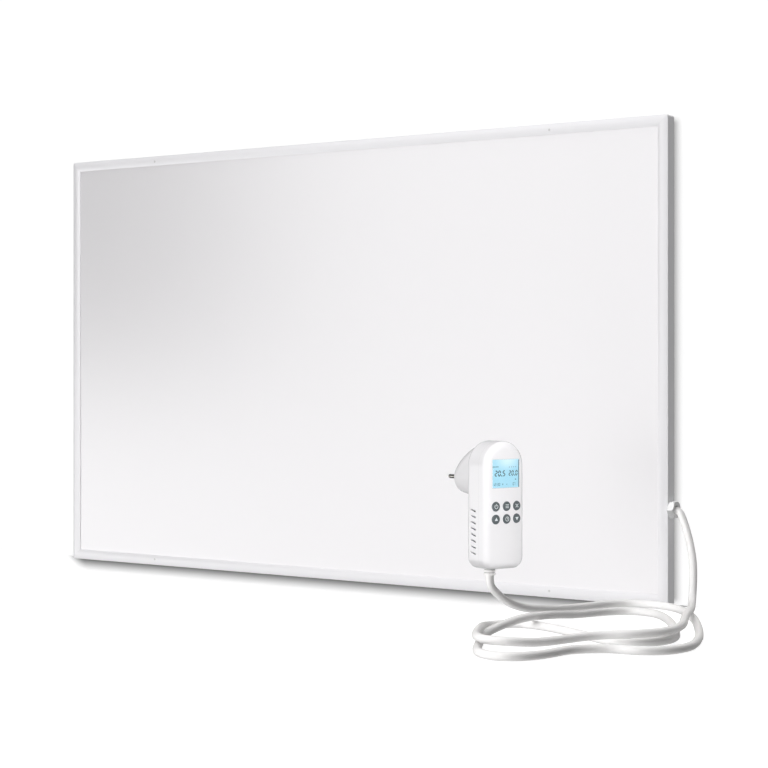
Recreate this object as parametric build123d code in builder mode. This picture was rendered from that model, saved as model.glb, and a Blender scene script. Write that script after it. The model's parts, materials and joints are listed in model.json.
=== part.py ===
"""Infrared panel heater with its mains cord and plug-in thermostat.

Frame of the model: millimetres, +X to the right as seen from the front, +Y into the wall, +Z up. The
origin is on the wall, midway between the four keyholes that the panel hangs by.
"""

from build123d import *
from math import cos, pi, radians, sin, sqrt, tan
import os

os.makedirs("parts", exist_ok=True)

# Panel: outside sizes and the border extrusion
panel_width = 1000.0
panel_height = 600.0
frame_depth = 18.0
border_width = 14.0
frame_wall = 1.5
crown_rise = 1.3
lip_edge = 1.2
corner_round = 4.0
back_lip_width = 8.0
back_lip_wall = 1.2
groove_reach = 4.0
groove_rib = 1.0
wall_gap = 8.0
mitre_margin = 2.0

# Front plate, heating layers and rear cover
plate_thickness = 1.2
plate_edge_gap = 0.5
film_thickness = 0.6
film_border = 22.0
bus_bar_width = 12.0
bus_bar_thickness = 0.4
bus_tab_width = 10.0
foil_thickness = 0.3
board_border = 11.0
cover_thickness = 1.0
cover_inset = 2.0
cover_round = 5.0

# Corner keys, rivets and screws
key_reach = 7.6
key_arm = 38.0
rivet_from_end = 166.0
rivet_inset = 8.2
rivet_radius = 1.6
rivet_tail = 1.4
fastener_gap = 0.1
cover_screw_radius = 1.5
cover_screw_head = 2.8
cover_screw_head_height = 1.6
cover_screw_length = 7.0
cover_screw_inset = 5.0
cover_screw_from_corner = 26.0
cover_screw_pitch = 300.0

# Hanger brackets and their keyholes
keyhole_from_side = 166.0
keyhole_from_end = 100.0
keyhole_entry_radius = 5.0
keyhole_slot_width = 5.2
keyhole_slot_rise = 11.0
bracket_sheet = 1.2
bracket_crown_width = 40.0
bracket_flange = 15.0
bracket_height = 60.0
bracket_bend = 1.6
bracket_rivet_head = 3.0
bracket_rivet_head_height = 1.0
bracket_rivet_z = 20.0

# Cable gland and mains cord
cord_diameter = 9.4
gland_z = -182.0
gland_v = 8.5
gland_flats = 20.0
gland_flange = 1.5
gland_cap_length = 6.5
gland_neck_radius = 5.6
gland_neck_inside = 9.0
gland_bore_gap = 0.1
gland_mouth_round = 1.5
gland_cap_chamfer = 1.5
locknut_thickness = 2.5
locknut_radius = 9.0
sheath_inside = 10.5

# Wiring pocket behind the plate
pocket_left = 108.0
pocket_above = 60.0
pocket_below = 42.0
wire_radius = 1.1
wire_corner = 2.0
wire_stub = 5.0
wire_loop_gap = 4.0
terminal_length = 34.0
terminal_height = 24.0
terminal_depth = 9.0
terminal_round = 1.5
terminal_from_edge = 66.0
terminal_pitch = 7.0
terminal_rib = 2.0
terminal_rib_inset = 3.0
terminal_rib_gap = 1.6
terminal_screw_radius = 1.8
terminal_screw_proud = 1.0
terminal_screw_offset = 8.0
cutout_radius = 8.0
cutout_depth = 8.0
cutout_edge = 1.0
cutout_flange = 1.0
cutout_flange_length = 26.0
cutout_flange_height = 9.0
cutout_flange_round = 2.0
cutout_from_edge = 60.0
cutout_rise = 44.0
cutout_lead_rise = 2.0
earth_from_edge = 62.0
earth_drop = 24.0
earth_nut_radius = 4.2
earth_nut_height = 3.0
earth_thread_radius = 2.0
earth_thread_length = 4.0
earth_lug_reach = 3.8
earth_bend_reach = 8.0

# Plug-in thermostat: place and housing
unit_x = 403.2
unit_y = -264.9
unit_z = -164.2
unit_turn = 71.5
unit_height = 145.0
unit_width = 57.5
unit_depth = 39.0
unit_wall = 2.2
unit_bottom_round = 13.0
unit_front_round = 8.0
unit_back_round = 8.0
unit_crown_radius = 150.0
front_shell_depth = 15.5
front_skin = 3.5
front_pocket_step = 5.0
front_pocket_inset = 6.8
boss_base_height = 67.5
boss_mid_width = 50.0
boss_mid_height = 55.5
boss_mid_rise = 35.2
boss_mid_back = 32.0
boss_length = 33.5
plug_radius = 18.5
plug_z = 29.0

# Thermostat: display, keys and inside
window_width = 39.4
window_height = 32.6
window_z = 36.0
window_pane = 1.4
window_ledge = 1.8
window_gap = 0.1
lcd_margin = 1.5
key_radius = 5.3
key_gap = 0.3
key_pitch_x = 15.2
key_pitch_z = 14.5
key_top_z = -1.0
key_proud = 0.9
key_edge = 0.6
key_flange_radius = 6.3
key_flange = 1.0
key_travel = 0.8
key_overtravel = 0.4
switch_size = 6.0
switch_base = 2.4
switch_plunger_radius = 1.8
circuit_board_width = 46.0
circuit_board_height = 118.0
circuit_board_thickness = 1.6
circuit_board_front = 10.0
circuit_board_corner = 2.0
block_corner = 1.0
capacitor_radius = 4.0
capacitor_height = 12.0
capacitor_edge = 0.8
fuse_radius = 2.6
fuse_length = 20.0
sensor_radius = 1.6
sensor_height = 7.0
sensor_edge = 1.2
pillar_radius = 3.6
pillar_upper_x = 22.5
pillar_lower_x = 20.5
pillar_lower_z = -54.0
housing_screw_radius = 1.4
housing_screw_head = 2.7
housing_screw_head_height = 2.0
housing_screw_recess = 3.2
pillar_hole_share = 0.8
housing_screw_share = 0.6
loft_flat = 0.05
vent_count = 8
vent_pitch = 6.9
vent_first_z = -6.2
vent_height = 1.8
vent_length = 9.0
vent_front = 0.6
vent_slope = 14.0

# Thermostat: plug and cord exit
insert_radius = 15.0
insert_gap = 0.2
insert_depth = 8.0
insert_proud = 1.0
insert_edge = 0.8
pin_radius = 2.4
pin_pitch = 19.0
pin_length = 19.0
pin_tip = 1.2
pin_root = 6.0
pin_root_radius = 1.9
earth_clip_width = 4.0
earth_clip_thickness = 1.0
earth_clip_length = 7.0
outlet_y = 11.0
grip_radius = 6.8
grip_length = 9.0
grip_neck_radius = 5.8
grip_groove = 1.0
grip_ring = 2.2
grip_ring_count = 3
grip_flange_radius = 6.2
grip_flange = 2.0
cord_seat_radius = 7.6
cord_seat_height = 6.0
sheath_inside_unit = 12.0

# Depths measured from the back of the border towards the front
edge_v = frame_depth - crown_rise
plate_front_v = edge_v - lip_edge
plate_back_v = plate_front_v - plate_thickness
rib_back_v = plate_back_v - groove_rib
film_back_v = plate_back_v - film_thickness
bus_back_v = film_back_v - bus_bar_thickness
foil_back_v = bus_back_v - foil_thickness

half_width = panel_width / 2
half_height = panel_height / 2
cord_radius = cord_diameter / 2
gland_y = -(wall_gap + gland_v)


def front_view(v):
    """Plane seen from the front, at depth v from the border's back; its normal points to the room."""
    return Plane(origin=(0, -(wall_gap + v), 0), x_dir=(1, 0, 0), z_dir=(0, -1, 0))


def corners(dx, dz):
    """The four points at plus or minus dx and dz about the panel's middle."""
    return [(sx * dx, sz * dz) for sx in (-1, 1) for sz in (-1, 1)]


# ---------------------------------------------------------------- border

rivet_spots = corners(half_width - rivet_from_end, half_height - rivet_inset)


def frame_member(node, side_x, side_z):
    """One side of the border: the extrusion's section run along its edge, mitred and rounded."""
    inwards = Vector(-side_x, 0, -side_z)
    along = inwards.cross(Vector(0, -1, 0))
    middle = (side_x * half_width, -wall_gap, side_z * half_height)
    length = panel_height if side_x else panel_width
    reach = border_width + mitre_margin
    if side_x:
        outline = [
            (side_x * half_width, half_height),
            (side_x * (half_width - reach), half_height - reach),
            (side_x * (half_width - reach), -half_height + reach),
            (side_x * half_width, -half_height),
        ]
    else:
        outline = [
            (half_width, side_z * half_height),
            (half_width - reach, side_z * (half_height - reach)),
            (-half_width + reach, side_z * (half_height - reach)),
            (-half_width, side_z * half_height),
        ]
    with BuildPart() as member:
        with BuildSketch(Plane(origin=middle, x_dir=inwards, z_dir=along)):
            with BuildLine():
                Line((0, 0), (0, edge_v))
                ThreePointArc((0, edge_v), (border_width / 2, frame_depth), (border_width, edge_v))
                Polyline(
                    (border_width, edge_v),
                    (border_width, plate_front_v),
                    (frame_wall, plate_front_v),
                    (frame_wall, plate_back_v),
                    (frame_wall + groove_reach, plate_back_v),
                    (frame_wall + groove_reach, rib_back_v),
                    (frame_wall, rib_back_v),
                    (frame_wall, back_lip_wall),
                    (back_lip_width, back_lip_wall),
                    (back_lip_width, 0),
                    (0, 0),
                )
            make_face()
        extrude(amount=length / 2, both=True)
        with BuildSketch(front_view(0)):
            Polygon(*outline, align=None)
        extrude(amount=frame_depth, mode=Mode.INTERSECT)
        with BuildSketch(front_view(0)):
            RectangleRounded(panel_width, panel_height, corner_round)
        extrude(amount=frame_depth, mode=Mode.INTERSECT)
        with BuildSketch(front_view(0)):
            with Locations(*cover_screw_spots):
                Circle(cover_screw_radius + fastener_gap)
        extrude(amount=back_lip_wall, mode=Mode.SUBTRACT)
        if side_z:
            with BuildSketch(front_view(plate_front_v)):
                with Locations(*rivet_spots):
                    Circle(rivet_radius + fastener_gap)
            extrude(amount=frame_depth, mode=Mode.SUBTRACT)
        if side_x > 0:
            gland_hole = Plane(origin=(half_width, gland_y, gland_z), z_dir=(1, 0, 0))
            with BuildSketch(gland_hole):
                Circle(gland_neck_radius + fastener_gap)
            extrude(amount=-frame_wall, mode=Mode.SUBTRACT)
            notch_x = half_width - frame_wall - groove_reach / 2
            with BuildSketch(front_view(rib_back_v)):
                with Locations((notch_x, gland_z)):
                    Rectangle(groove_reach, 2 * (locknut_radius + fastener_gap))
            extrude(amount=groove_rib, mode=Mode.SUBTRACT)
    member.part.label = node
    export_step(member.part, f"parts/{node}.step")


screw_x = half_width - cover_screw_inset
screw_z = half_height - cover_screw_inset
cover_screw_spots = (
    corners(half_width - cover_screw_from_corner, screw_z)
    + corners(screw_x, half_height - cover_screw_from_corner)
    + [(sx * cover_screw_pitch / 2, sz * screw_z) for sx in (-1, 1) for sz in (-1, 1)]
    + [(sx * screw_x, 0) for sx in (-1, 1)]
)
key_screw_spots = cover_screw_spots[:8]

for node, side_x, side_z in (
    ("frame_top", 0, 1),
    ("frame_bottom", 0, -1),
    ("frame_left", -1, 0),
    ("frame_right", 1, 0),
):
    frame_member(node, side_x, side_z)

# L-shaped die-cast keys lie in the border's channel and carry the mitred corners
with BuildPart() as corner_keys:
    for side_x, side_z in corners(1, 1):
        with BuildSketch(front_view(back_lip_wall)):
            outline = [
                (frame_wall, frame_wall),
                (frame_wall, key_arm),
                (key_reach, key_arm),
                (key_reach, key_reach),
                (key_arm, key_reach),
                (key_arm, frame_wall),
            ]
            points = [(side_x * (half_width - a), side_z * (half_height - b)) for a, b in outline]
            Polygon(*points, align=None)
        extrude(amount=rib_back_v - back_lip_wall)
    with BuildSketch(front_view(back_lip_wall)):
        with Locations(*key_screw_spots):
            Circle(cover_screw_radius + fastener_gap)
    extrude(amount=cover_screw_length, mode=Mode.SUBTRACT)
corner_keys.part.label = "corner_keys"
export_step(corner_keys.part, "parts/corner_keys.step")

# ---------------------------------------------------------------- radiating front

plate_width = panel_width - 2 * (frame_wall + plate_edge_gap)
plate_height = panel_height - 2 * (frame_wall + plate_edge_gap)

with BuildPart() as front_plate:
    with BuildSketch(front_view(plate_back_v)):
        RectangleRounded(plate_width, plate_height, corner_round - frame_wall)
    extrude(amount=plate_thickness)
    with BuildSketch(front_view(plate_back_v)):
        with Locations(*rivet_spots):
            Circle(rivet_radius + fastener_gap)
    extrude(amount=plate_thickness, mode=Mode.SUBTRACT)
front_plate.part.label = "front_plate"
export_step(front_plate.part, "parts/front_plate.step")


def border_crown(inset):
    """Depth of the border's crowned face at a distance in from the outer edge."""
    half = border_width / 2
    radius = (half**2 + crown_rise**2) / (2 * crown_rise)
    return frame_depth - radius + sqrt(radius**2 - (inset - half) ** 2)


rivet_face_v = border_crown(rivet_inset + rivet_radius)
with BuildPart() as plate_rivets:
    with BuildSketch(front_view(plate_back_v)):
        with Locations(*rivet_spots):
            Circle(rivet_radius)
    extrude(amount=rivet_face_v - plate_back_v)
    with BuildSketch(front_view(plate_back_v)):
        with Locations(*rivet_spots):
            Circle(rivet_radius + 2 * fastener_gap)
    extrude(amount=-rivet_tail)
plate_rivets.part.label = "plate_rivets"
export_step(plate_rivets.part, "parts/plate_rivets.step")

film_width = panel_width - 2 * film_border
film_height = panel_height - 2 * film_border

with BuildPart() as heating_film:
    with BuildSketch(front_view(film_back_v)):
        Rectangle(film_width, film_height)
    extrude(amount=film_thickness)
heating_film.part.label = "heating_film"
export_step(heating_film.part, "parts/heating_film.step")

# Each copper bar has a tab that reaches past the film to its lead
bus_middle = film_width / 2 - bus_bar_width / 2
lead_edge = (board_border + back_lip_width) / 2
tab_length = film_border - lead_edge + wire_radius + bus_bar_width
return_tab_z = -half_height + 2 * board_border + bus_tab_width + film_border
live_tab_z = gland_z + pocket_above + 2 * wire_stub

with BuildPart() as bus_bars:
    for side, tab_z in ((-1, return_tab_z), (1, live_tab_z)):
        with BuildSketch(front_view(bus_back_v)):
            with Locations((side * bus_middle, 0)):
                Rectangle(bus_bar_width, film_height)
            with Locations((side * (half_width - lead_edge + wire_radius - tab_length / 2), tab_z)):
                Rectangle(tab_length, bus_tab_width)
        extrude(amount=bus_bar_thickness)
bus_bars.part.label = "bus_bars"
export_step(bus_bars.part, "parts/bus_bars.step")

board_width = panel_width - 2 * board_border
board_height = panel_height - 2 * board_border

with BuildPart() as reflector_foil:
    with BuildSketch(front_view(foil_back_v)):
        Rectangle(board_width, board_height)
    extrude(amount=foil_thickness)
reflector_foil.part.label = "reflector_foil"
export_step(reflector_foil.part, "parts/reflector_foil.step")

with BuildPart() as insulation_board:
    with BuildSketch(front_view(0)):
        Rectangle(board_width, board_height)
        pocket_height = pocket_above + pocket_below
        pocket_middle = (half_width - pocket_left / 2, gland_z + (pocket_above - pocket_below) / 2)
        with Locations(pocket_middle):
            Rectangle(pocket_left, pocket_height, mode=Mode.SUBTRACT)
    extrude(amount=foil_back_v)
insulation_board.part.label = "insulation_board"
export_step(insulation_board.part, "parts/insulation_board.step")

# ---------------------------------------------------------------- back and hangers

hanger_spots = corners(half_width - keyhole_from_side, half_height - keyhole_from_end)
flange_middle = bracket_crown_width / 2 + bracket_flange / 2
bracket_rivet_spots = [
    (x + sx * flange_middle, z + sz * bracket_rivet_z)
    for x, z in hanger_spots
    for sx in (-1, 1)
    for sz in (-1, 1)
]

with BuildPart() as rear_cover:
    with BuildSketch(front_view(-cover_thickness)):
        RectangleRounded(panel_width - 2 * cover_inset, panel_height - 2 * cover_inset, cover_round)
        with Locations(*cover_screw_spots):
            Circle(cover_screw_radius + fastener_gap, mode=Mode.SUBTRACT)
        with Locations(*bracket_rivet_spots):
            Circle(rivet_radius + fastener_gap, mode=Mode.SUBTRACT)
    extrude(amount=cover_thickness)
rear_cover.part.label = "rear_cover"
export_step(rear_cover.part, "parts/rear_cover.step")

with BuildPart() as cover_screws:
    with BuildSketch(front_view(-cover_thickness)):
        with Locations(*cover_screw_spots):
            Circle(cover_screw_head)
    extrude(amount=-cover_screw_head_height)
    chamfer(cover_screws.edges().group_by(Axis.Y)[-1], cover_screw_head_height / 3)
    with BuildSketch(front_view(-cover_thickness)):
        with Locations(*cover_screw_spots):
            Circle(cover_screw_radius)
    extrude(amount=cover_screw_length)
cover_screws.part.label = "cover_screws"
export_step(cover_screws.part, "parts/cover_screws.step")


def hanger_bracket(node, x, z):
    """A hat-section bracket folded from sheet, with a keyhole through the crown that meets the wall."""
    flange_y = cover_thickness - wall_gap
    half_crown = bracket_crown_width / 2
    half_base = half_crown + bracket_flange
    with BuildPart() as bracket:
        with BuildSketch(Plane.XY.offset(z - bracket_height / 2)):
            with BuildLine():
                FilletPolyline(
                    (x - half_base, flange_y),
                    (x - half_crown, flange_y),
                    (x - half_crown, -bracket_sheet),
                    (x + half_crown, -bracket_sheet),
                    (x + half_crown, flange_y),
                    (x + half_base, flange_y),
                    radius=bracket_bend,
                )
                offset(amount=bracket_sheet, side=Side.LEFT)
            make_face()
        extrude(amount=bracket_height)
        with BuildSketch(Plane(origin=(x, 0, z), x_dir=(1, 0, 0), z_dir=(0, -1, 0))):
            Circle(keyhole_entry_radius)
            with Locations((0, keyhole_slot_rise / 2)):
                Rectangle(keyhole_slot_width, keyhole_slot_rise)
            with Locations((0, keyhole_slot_rise)):
                Circle(keyhole_slot_width / 2)
        extrude(amount=bracket_sheet, mode=Mode.SUBTRACT)
        with BuildSketch(Plane(origin=(x, flange_y, z), x_dir=(1, 0, 0), z_dir=(0, -1, 0))):
            with Locations(*corners(flange_middle, bracket_rivet_z)):
                Circle(rivet_radius + fastener_gap)
        extrude(amount=-bracket_sheet, mode=Mode.SUBTRACT)
    bracket.part.label = node
    export_step(bracket.part, f"parts/{node}.step")


for place, (x, z) in zip(("lower_left", "upper_left", "lower_right", "upper_right"), hanger_spots):
    hanger_bracket(f"hanger_{place}", x, z)

with BuildPart() as bracket_rivets:
    with BuildSketch(front_view(-cover_thickness - bracket_sheet)):
        with Locations(*bracket_rivet_spots):
            Circle(bracket_rivet_head)
    extrude(amount=-bracket_rivet_head_height)
    chamfer(bracket_rivets.edges().group_by(Axis.Y)[-1], bracket_rivet_head_height / 2)
    with BuildSketch(front_view(-cover_thickness - bracket_sheet)):
        with Locations(*bracket_rivet_spots):
            Circle(rivet_radius)
    extrude(amount=bracket_sheet + cover_thickness)
bracket_rivets.part.label = "bracket_rivets"
export_step(bracket_rivets.part, "parts/bracket_rivets.step")

# ---------------------------------------------------------------- cable gland

def across(x):
    """Plane square to the gland's axis at x; its normal points out of the panel's right side."""
    return Plane(origin=(x, gland_y, gland_z), x_dir=(0, 1, 0), z_dir=(1, 0, 0))


hex_radius = gland_flats / sqrt(3)

with BuildPart() as gland_body:
    with BuildSketch(across(half_width)):
        RegularPolygon(hex_radius, 6)
    extrude(amount=gland_flange)
    with BuildSketch(across(half_width)):
        Circle(gland_neck_radius)
    extrude(amount=-gland_neck_inside)
    with BuildSketch(across(half_width - gland_neck_inside)):
        Circle(cord_radius + gland_bore_gap)
    extrude(amount=gland_neck_inside + gland_flange, mode=Mode.SUBTRACT)
gland_body.part.label = "gland_body"
export_step(gland_body.part, "parts/gland_body.step")

# The cap's corners are turned off by a cone, and its mouth is rounded for the bend of the cord
with BuildPart() as gland_cap:
    with BuildSketch(across(half_width + gland_flange)):
        RegularPolygon(hex_radius, 6)
    extrude(amount=gland_cap_length)
    with BuildSketch(across(half_width + gland_flange)):
        Circle(hex_radius)
    extrude(amount=gland_cap_length)
    cone_edge = gland_cap.edges().filter_by(GeomType.CIRCLE).group_by(Axis.X)[-1]
    chamfer(cone_edge, gland_cap_chamfer)
    with BuildSketch(across(half_width + gland_flange)):
        RegularPolygon(hex_radius, 6)
    extrude(amount=gland_cap_length, mode=Mode.INTERSECT)
    with BuildSketch(across(half_width + gland_flange)):
        Circle(cord_radius + gland_bore_gap)
    extrude(amount=gland_cap_length, mode=Mode.SUBTRACT)
    mouth_edge = gland_cap.edges().filter_by(GeomType.CIRCLE).group_by(Axis.X)[-1].sort_by(SortBy.RADIUS)[0]
    fillet(mouth_edge, gland_mouth_round)
gland_cap.part.label = "gland_cap"
export_step(gland_cap.part, "parts/gland_cap.step")

# The locknut is trimmed to pass between the back lip and the plate
with BuildPart() as gland_locknut:
    with BuildSketch(across(half_width - frame_wall)):
        Circle(locknut_radius)
        channel = plate_back_v - back_lip_wall
        with Locations((gland_v - (back_lip_wall + plate_back_v) / 2, 0)):
            Rectangle(channel - 2 * fastener_gap, 2 * locknut_radius, mode=Mode.INTERSECT)
        Circle(gland_neck_radius + fastener_gap / 2, mode=Mode.SUBTRACT)
    extrude(amount=-locknut_thickness)
gland_locknut.part.label = "gland_locknut"
export_step(gland_locknut.part, "parts/gland_locknut.step")

with BuildPart() as cord_inlet:
    with BuildSketch(across(half_width)):
        Circle(cord_radius)
    extrude(amount=-sheath_inside)
cord_inlet.part.label = "cord_inlet"
export_step(cord_inlet.part, "parts/cord_inlet.step")

# ---------------------------------------------------------------- wiring behind the plate

terminal_x = half_width - terminal_from_edge
cutout_x = half_width - cutout_from_edge
cutout_z = gland_z + cutout_rise
earth_x = half_width - earth_from_edge
earth_z = gland_z - earth_drop

with BuildPart() as terminal_block:
    with BuildSketch(front_view(0)):
        with Locations((terminal_x, gland_z)):
            RectangleRounded(terminal_length, terminal_height, terminal_round)
    extrude(amount=terminal_depth - terminal_rib)
    with BuildSketch(front_view(terminal_depth - terminal_rib)):
        with Locations(*[(terminal_x, gland_z + row * terminal_pitch) for row in (-1, 0, 1)]):
            Rectangle(terminal_length - 2 * terminal_rib_inset, terminal_pitch - terminal_rib_gap)
    extrude(amount=terminal_rib)
terminal_block.part.label = "terminal_block"
export_step(terminal_block.part, "parts/terminal_block.step")

with BuildPart() as terminal_screws:
    with BuildSketch(front_view(terminal_depth)):
        for row in (-1, 0, 1):
            for side in (-1, 1):
                with Locations((terminal_x + side * terminal_screw_offset, gland_z + row * terminal_pitch)):
                    Circle(terminal_screw_radius)
    extrude(amount=terminal_screw_proud)
terminal_screws.part.label = "terminal_screws"
export_step(terminal_screws.part, "parts/terminal_screws.step")

with BuildPart() as thermal_cutout:
    with BuildSketch(front_view(foil_back_v)):
        with Locations((cutout_x, cutout_z)):
            RectangleRounded(cutout_flange_length, cutout_flange_height, cutout_flange_round)
    extrude(amount=-cutout_flange)
    with BuildSketch(front_view(foil_back_v)):
        with Locations((cutout_x, cutout_z)):
            Circle(cutout_radius)
    extrude(amount=-cutout_depth)
    fillet(thermal_cutout.edges().group_by(Axis.Y)[-1], cutout_edge)
thermal_cutout.part.label = "thermal_cutout"
export_step(thermal_cutout.part, "parts/thermal_cutout.step")

with BuildPart() as earth_stud:
    with BuildSketch(front_view(0)):
        with Locations((earth_x, earth_z)):
            RegularPolygon(earth_nut_radius, 6)
    extrude(amount=earth_nut_height)
    with BuildSketch(front_view(earth_nut_height)):
        with Locations((earth_x, earth_z)):
            Circle(earth_thread_radius)
    extrude(amount=earth_thread_length)
earth_stud.part.label = "earth_stud"
export_step(earth_stud.part, "parts/earth_stud.step")


def at(x, v, z):
    """A point given by its depth v from the border's back."""
    return (x, -(wall_gap + v), z)


sheath_end = half_width - sheath_inside
terminal_right = terminal_x + terminal_length / 2
terminal_left = terminal_x - terminal_length / 2
core_spread = cord_radius / 2
wire_v = terminal_depth / 2
lead_x = half_width - lead_edge
lead_z = -half_height + lead_edge
live_row = gland_z + terminal_pitch
return_row = gland_z - terminal_pitch
loop_x = half_width - pocket_left + 3 * wire_radius
lower_run = gland_z - pocket_below + 2 * wire_radius

wire_paths = {
    "wire_live": [
        [at(sheath_end, gland_v, gland_z + core_spread),
         at(sheath_end - wire_stub, gland_v, gland_z + core_spread),
         at(terminal_right + wire_stub, wire_v, live_row),
         at(terminal_right, wire_v, live_row)],
    ],
    "wire_neutral": [
        [at(sheath_end, gland_v - core_spread, gland_z),
         at(sheath_end - wire_stub, gland_v - core_spread, gland_z),
         at(terminal_right + wire_stub, wire_v, return_row),
         at(terminal_right, wire_v, return_row)],
    ],
    "wire_earth": [
        [at(sheath_end, gland_v + core_spread, gland_z - core_spread / 2),
         at(sheath_end - wire_stub, gland_v + core_spread, gland_z - core_spread / 2),
         at(sheath_end - 2 * wire_stub, gland_v + core_spread, gland_z - earth_drop / 2),
         at(earth_x + earth_bend_reach, wire_v, earth_z),
         at(earth_x + earth_lug_reach, wire_v, earth_z)],
    ],
    "lead_live": [
        [at(terminal_left, wire_v, live_row),
         at(loop_x + wire_loop_gap, wire_v, live_row),
         at(loop_x + wire_loop_gap, wire_v, cutout_z),
         at(cutout_x - cutout_radius - fastener_gap, wire_v + cutout_lead_rise, cutout_z)],
        [at(cutout_x + cutout_radius + fastener_gap, wire_v + cutout_lead_rise, cutout_z),
         at(lead_x, wire_v + cutout_lead_rise, cutout_z),
         at(lead_x, wire_v + cutout_lead_rise, live_tab_z),
         at(lead_x, bus_back_v, live_tab_z)],
    ],
    "lead_return": [
        [at(terminal_left, wire_v, return_row),
         at(loop_x, wire_v, return_row),
         at(loop_x, wire_v, lower_run),
         at(lead_x, wire_v, lower_run),
         at(lead_x, wire_v, lead_z),
         at(-lead_x, wire_v, lead_z),
         at(-lead_x, wire_v, return_tab_z),
         at(-lead_x, bus_back_v, return_tab_z)],
    ],
}

for node, runs in wire_paths.items():
    with BuildPart() as lead:
        for points in runs:
            with BuildLine() as path:
                FilletPolyline(*points, radius=wire_corner)
            with BuildSketch(Plane(origin=path.line @ 0, z_dir=path.line % 0)):
                Circle(wire_radius)
            sweep(path=path.line)
    lead.part.label = node
    export_step(lead.part, f"parts/{node}.step")

# ---------------------------------------------------------------- mains cord

# Route of the cord's centre from the gland to the thermostat: out of the gland, down to the floor, two
# loose turns that cross each other, and up into the thermostat from behind
floor_z = -half_height
lying = floor_z + cord_radius
over = floor_z + 3 * cord_radius + 1.0
outlet_face = unit_z - unit_height / 2 - grip_length


def unit_point(x, y, z):
    """A point of the thermostat, given from its middle: across its face, towards its plug, and up."""
    turn = radians(unit_turn)
    return (unit_x + x * cos(turn) - y * sin(turn), unit_y + x * sin(turn) + y * cos(turn), unit_z + z)


outlet = unit_point(0, outlet_y, 0)
cord_route = [
    (half_width, gland_y, gland_z),
    (half_width + 11, gland_y, gland_z),
    (518, -20, -193),
    (526, -26, -206),
    (535, -35, -222),
    (545, -48, -241),
    (553, -64, -262),
    (562, -86, over),
    (585, -136, over),
    (608, -199, over),
    (635, -256, over),
    (644, -308, over),
    (625, -344, over),
    (586, -362, -287),
    (568, -396, -289),
    (560, -438, -288),
    (546, -465, over),
    (519, -470, over),
    (496, -454, over),
    (478, -422, over),
    (456, -382, -288),
    (434, -341, -292),
    (425, -312, lying),
    (435, -287, lying),
    (461, -279, lying),
    (502, -295, lying),
    (543, -315, lying),
    (586, -341, lying),
    (620, -337, lying),
    (639, -309, lying),
    (637, -278, lying),
    (621, -245, lying),
    (587, -186, lying),
    (552, -137, lying),
    (524, -112, lying),
    (491, -113, lying),
    (471, -143, lying),
    (468, -194, -293),
    (469, -238, -288),
    (470, -274, over),
    (462, -310, over),
    (453, -346, -292),
    (461, -388, lying),
    (488, -434, lying),
    (503, -462, lying),
    (519, -487, lying),
    (545, -499, lying),
    (570, -488, lying),
    (583, -458, lying),
    (586, -413, lying),
    (618, -385, lying),
    (650, -384, lying),
    (674, -362, lying),
    (679, -327, lying),
    (668, -290, lying),
    (650, -247, lying),
    (611, -172, lying),
    (571, -106, lying),
    (532, -61, lying),
    (496, -44, lying),
    (462, -48, lying),
    (440, -71, lying),
    (433, -109, lying),
    (416, -149, lying),
    (407, -189, -292),
    (400, -220, -285),
    (395.5, -240, -274),
    (393, -255, -263),
    (outlet[0], outlet[1], outlet_face - 10),
    (outlet[0], outlet[1], outlet_face),
]


def bend_radii(route):
    """The largest arc that each corner's two runs allow, 0.45 of the shorter run each side."""
    radii = []
    for before, corner, after in zip(route, route[1:], route[2:]):
        arriving = Vector(*corner) - Vector(*before)
        leaving = Vector(*after) - Vector(*corner)
        half_turn = radians(arriving.get_angle(leaving)) / 2
        radii.append(0.45 * min(arriving.length, leaving.length) / tan(half_turn))
    return radii


cord_bends = bend_radii(cord_route)
with BuildPart() as power_cord:
    with BuildLine() as cord_path:
        FilletPolyline(*cord_route, radius=cord_bends)
    with BuildSketch(Plane(origin=cord_route[0], z_dir=(1, 0, 0))):
        Circle(cord_radius)
    sweep(path=cord_path.line)
power_cord.part.label = "power_cord"
export_step(power_cord.part, "parts/power_cord.step")

cord_length = sum(edge.length for edge in cord_path.edges())
swept_share = power_cord.part.volume / (pi * cord_radius**2 * cord_length)
print(f"cord length {cord_length:.0f} mm, swept volume over section times length {swept_share:.3f}")

# ---------------------------------------------------------------- thermostat housing

unit = Plane(
    origin=(unit_x, unit_y, unit_z),
    x_dir=(cos(radians(unit_turn)), sin(radians(unit_turn)), 0),
    z_dir=(0, 0, 1),
)
unit_back_axis = Axis((unit_x, unit_y, unit_z), tuple(unit.y_dir))


def unit_face(y):
    """Plane across the thermostat at y from its middle; its normal points out of the display side."""
    return Plane(origin=unit_point(0, y, 0), x_dir=unit.x_dir, z_dir=-unit.y_dir)


face_y = -unit_depth / 2
back_y = unit_depth / 2
parting_y = face_y + front_shell_depth
skin_y = face_y + front_skin
step_y = skin_y + front_pocket_step
plug_y = back_y + boss_length
half_unit = unit_width / 2
bottom_z = -unit_height / 2
arch_z = unit_height / 2 - half_unit
pillar_upper_z = key_top_z - key_pitch_z / 2
pillar_spots = [
    (side * x, z)
    for x, z in ((pillar_upper_x, pillar_upper_z), (pillar_lower_x, pillar_lower_z))
    for side in (-1, 1)
]
key_spots = [
    (column * key_pitch_x, key_top_z - row * key_pitch_z) for row in (0, 1) for column in (-1, 0, 1)
]


def crown_y(x):
    """The crowned face's place at a distance across from the middle."""
    return face_y + unit_crown_radius - sqrt(unit_crown_radius**2 - x**2)


with BuildSketch() as unit_outline:
    with Locations((0, arch_z)):
        Circle(half_unit)
    with Locations((0, (arch_z + bottom_z) / 2)):
        Rectangle(unit_width, arch_z - bottom_z)
    fillet(unit_outline.vertices().group_by(Axis.Y)[0], unit_bottom_round)

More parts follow.
